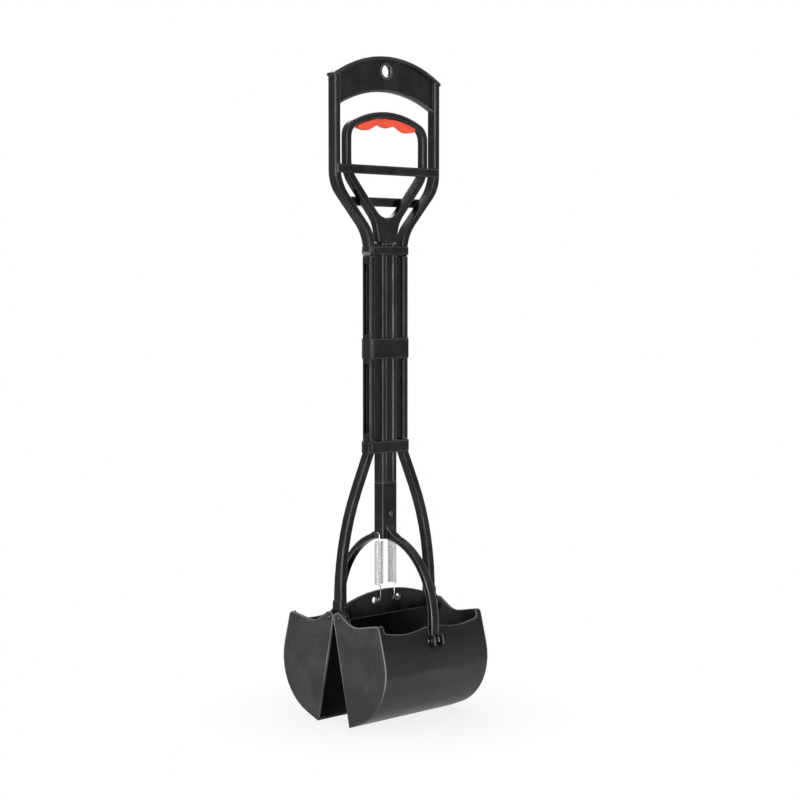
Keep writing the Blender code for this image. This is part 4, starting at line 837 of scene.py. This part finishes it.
class SCOOPER_OT_frame(bpy.types.Operator):
    """Finish the black handle, shaft, fork, grip, rod and yoke"""
    bl_idname = "scooper.finish_frame"
    bl_label = "Finish the black parts"

    def execute(self, context):
        handled = black_plastic("satin_black_plastic")
        running = black_plastic("satin_black_shaft_plastic", corners_only=True)
        for node in FRAME_PARTS + SLIDING_PARTS:
            soften(node, settings().plastic.edge)
            dress(node, running if node in RUNNING_PARTS else handled)
        return {"FINISHED"}


class SCOOPER_OT_jaws(bpy.types.Operator):
    """Finish the two charcoal jaws"""
    bl_idname = "scooper.finish_jaws"
    bl_label = "Finish the jaws"

    def execute(self, context):
        material = grey_plastic()
        for node in JAW_PARTS:
            soften(node, settings().plastic.edge)
            dress(node, material)
        return {"FINISHED"}


class SCOOPER_OT_pins(bpy.types.Operator):
    """Finish the steel pins, washers and clips"""
    bl_idname = "scooper.finish_pins"
    bl_label = "Finish the pins"

    def execute(self, context):
        zinc = metal("zinc_plated_steel", ZINC, TURNED_MARKS)
        dark = metal("oiled_pin_steel", OILED_STEEL, TURNED_MARKS)
        for node in PIN_PARTS:
            soften(node, PIN_EDGE, sharp=PIN_SHARP)
            dress(node, dark if "pivot" in node or "hanger" in node else zinc)
        return {"FINISHED"}


class SCOOPER_OT_pad(bpy.types.Operator):
    """Make the soft finger pad under the grip's bar"""
    bl_idname = "scooper.make_pad"
    bl_label = "Make the finger pad"

    def execute(self, context):
        pad = mesh_piece("soft_finger_pad", finger_pad_mesh, pad_rubber(),
                         "pull", "finger_pad", "finger_pad")
        return {"FINISHED"}


class SCOOPER_OT_springs(bpy.types.Operator):
    """Make the two tension springs"""
    bl_idname = "scooper.make_springs"
    bl_label = "Make the springs"

    def execute(self, context):
        material = metal("bright_spring_wire", SPRING_WIRE, WIRE_MARKS)
        look = settings().spring
        for side, label in ((-1, "left"), (1, "right")):
            points = spring_line(side)
            piece = mesh_piece(f"{label}_coil_spring",
                               lambda shape: sweep(shape, points, look.wire),
                               material, None, "spring_steel", f"{label}_spring")
            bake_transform(piece)
        return {"FINISHED"}


class SCOOPER_OT_screw(bpy.types.Operator):
    """Make the yoke's cross-head screw"""
    bl_idname = "scooper.make_screw"
    bl_label = "Make the screw"

    def execute(self, context):
        material = metal("blackened_screw_steel", BLACKENED_STEEL, SCREW_MARKS,
                         edge_shine=SCREW_GLINT)
        mesh_piece("cross_head_screw", screw_mesh, material, "pull", "coated_steel",
                   "yoke_screw")
        return {"FINISHED"}


# Stage

FLOOR_REACH = 6.0
FLOOR_GREYS = ((0.84, 0.84, 0.84, 1.0), (0.88, 0.88, 0.88, 1.0))
FLOOR_GLOSS = 0.15
FLOOR_ROUGHNESS = (0.60, 0.70)
FLOOR_CLOUDS = 0.30
FLOOR_BAND = (0.30, 0.70)
FLOOR_GRAIN = 0.004
FLOOR_BUMP = 0.0002
SHADOW_REACH = (0.07, 0.20)     # from the middle, where the floor turns wholly white
SHADOW_WHITE = (0.84, 1.0)      # share of plain white near the scooper and away from it
WHITE = (1, 1, 1, 1)
LAMP_AIM = (0, 0, 0.33)
SENSOR_WIDTH = 36
# Each lamp's name, the setting of its power, its place, and its width and height
LAMPS = (("key_lamp", "key", (-2.15, -0.46, 0.55), 0.7, 1.0),
         ("side_lamp", "side", (-0.46, -2.15, 0.55), 0.7, 1.0),
         ("top_lamp", "over", (-0.35, -0.45, 2.3), 1.6, 1.6),
         ("back_lamp", "back", (0.9, 1.7, 1.9), 1.2, 1.2))


def lamp(name, place, power, width, height):
    """A soft lamp, this wide and high, that points at the scooper."""
    data = bpy.data.lights.new(name, "AREA")
    data.energy = power
    data.shape = "RECTANGLE"
    data.size = width
    data.size_y = height
    item = bpy.data.objects.new(name, data)
    item.location = place
    aim = Vector(LAMP_AIM) - Vector(place)
    item.rotation_euler = aim.to_track_quat("-Z", "Y").to_euler()
    bpy.context.scene.collection.objects.link(item)


def floor_material():
    """Pale floor: white to the eye, with the scooper's own soft shadow left on it."""
    made = Finish("pale_floor", Specular_IOR_Level=FLOOR_GLOSS)
    clouds = made.noise(FLOOR_CLOUDS, detail=4.0)
    body = made.mixed(made.spread(clouds, FLOOR_BAND), *FLOOR_GREYS)
    made.finish(body, made.spread(clouds, FLOOR_BAND, FLOOR_ROUGHNESS),
                made.bumped(made.noise(FLOOR_GRAIN), strength=0.02, distance=FLOOR_BUMP))
    white = made.add("ShaderNodeEmission")
    white.inputs["Color"].default_value = WHITE
    white.inputs["Strength"].default_value = 1.0
    distance = made.add("ShaderNodeVectorMath", operation="LENGTH")
    made.feed(distance.inputs[0], made.place)
    away = made.spread(distance.outputs["Value"], SHADOW_REACH, SHADOW_WHITE)
    mix = made.add("ShaderNodeMixShader")
    made.feed(mix.inputs[0], made.times(made.seen(), away))
    made.feed(mix.inputs[1], made.shader.outputs["BSDF"])
    made.feed(mix.inputs[2], white.outputs["Emission"])
    made.feed(made.surface, mix.outputs["Shader"])
    return made.material


def white_room(strength):
    """A white world that shows as white and lights the scooper softly."""
    world = bpy.data.worlds.new("white_room")
    world.use_nodes = True
    made = Nodes(world.node_tree)
    background = made.tree.nodes["Background"]
    background.inputs["Color"].default_value = WHITE
    level = made.spread(made.seen(), (0.0, 1.0), (strength, 1.0))
    made.feed(background.inputs["Strength"], level)
    bpy.context.scene.world = world


class SCOOPER_OT_stage(bpy.types.Operator):
    """Set the floor, the room, the lamps and the camera"""
    bl_idname = "scooper.set_stage"
    bl_label = "Set the stage"

    def execute(self, context):
        look = settings().stage
        scene = context.scene
        mesh = bpy.data.meshes.new("floor")
        corners = ((-1, -1), (1, -1), (1, 1), (-1, 1))
        mesh.from_pydata([(FLOOR_REACH * x, FLOOR_REACH * y, 0) for x, y in corners],
                         [], [(0, 1, 2, 3)])
        floor = bpy.data.objects.new("floor", mesh)
        scene.collection.objects.link(floor)
        mesh.materials.append(floor_material())
        white_room(look.sky)
        for name, power, place, width, height in LAMPS:
            lamp(name, place, getattr(look, power), width, height)
        data = bpy.data.cameras.new("camera")
        data.lens = look.lens
        data.sensor_width = SENSOR_WIDTH
        camera = bpy.data.objects.new("camera", data)
        camera.location = look.eye
        camera.rotation_euler = look.tilt
        scene.collection.objects.link(camera)
        scene.camera = camera
        scene.view_settings.view_transform = "Standard"
        return {"FINISHED"}


class SCOOPER_PT_panel(bpy.types.Panel):
    """Lists the steps that finish the scooper"""
    bl_idname = "SCOOPER_PT_panel"
    bl_label = "Pooper scooper"
    bl_space_type = "VIEW_3D"
    bl_region_type = "UI"
    bl_category = "Scooper"

    def draw(self, context):
        looks = context.scene.scooper
        for name in ("plastic", "pad", "spring", "stage"):
            box = self.layout.box()
            group = getattr(looks, name)
            for prop in group.bl_rna.properties:
                if not prop.is_readonly and prop.identifier != "name":
                    box.prop(group, prop.identifier)
        for operator in OPERATORS:
            self.layout.operator(operator.bl_idname)


OPERATORS = (SCOOPER_OT_stage, SCOOPER_OT_frame, SCOOPER_OT_jaws, SCOOPER_OT_pins,
             SCOOPER_OT_pad, SCOOPER_OT_springs, SCOOPER_OT_screw)
SETTINGS = (ScooperPlasticSettings, ScooperPadSettings, ScooperSpringSettings,
            ScooperStageSettings, ScooperSettings)
CLASSES = SETTINGS + OPERATORS + (SCOOPER_PT_panel,)


def register():
    for item in CLASSES:
        bpy.utils.register_class(item)
    bpy.types.Scene.scooper = PointerProperty(type=ScooperSettings)


def unregister():
    del bpy.types.Scene.scooper
    for item in reversed(CLASSES):
        bpy.utils.unregister_class(item)


def main():
    """Makes every piece in turn."""
    register()
    for operator in OPERATORS:
        group, name = operator.bl_idname.split(".")
        getattr(getattr(bpy.ops, group), name)()


if __name__ == "__main__":
    main()
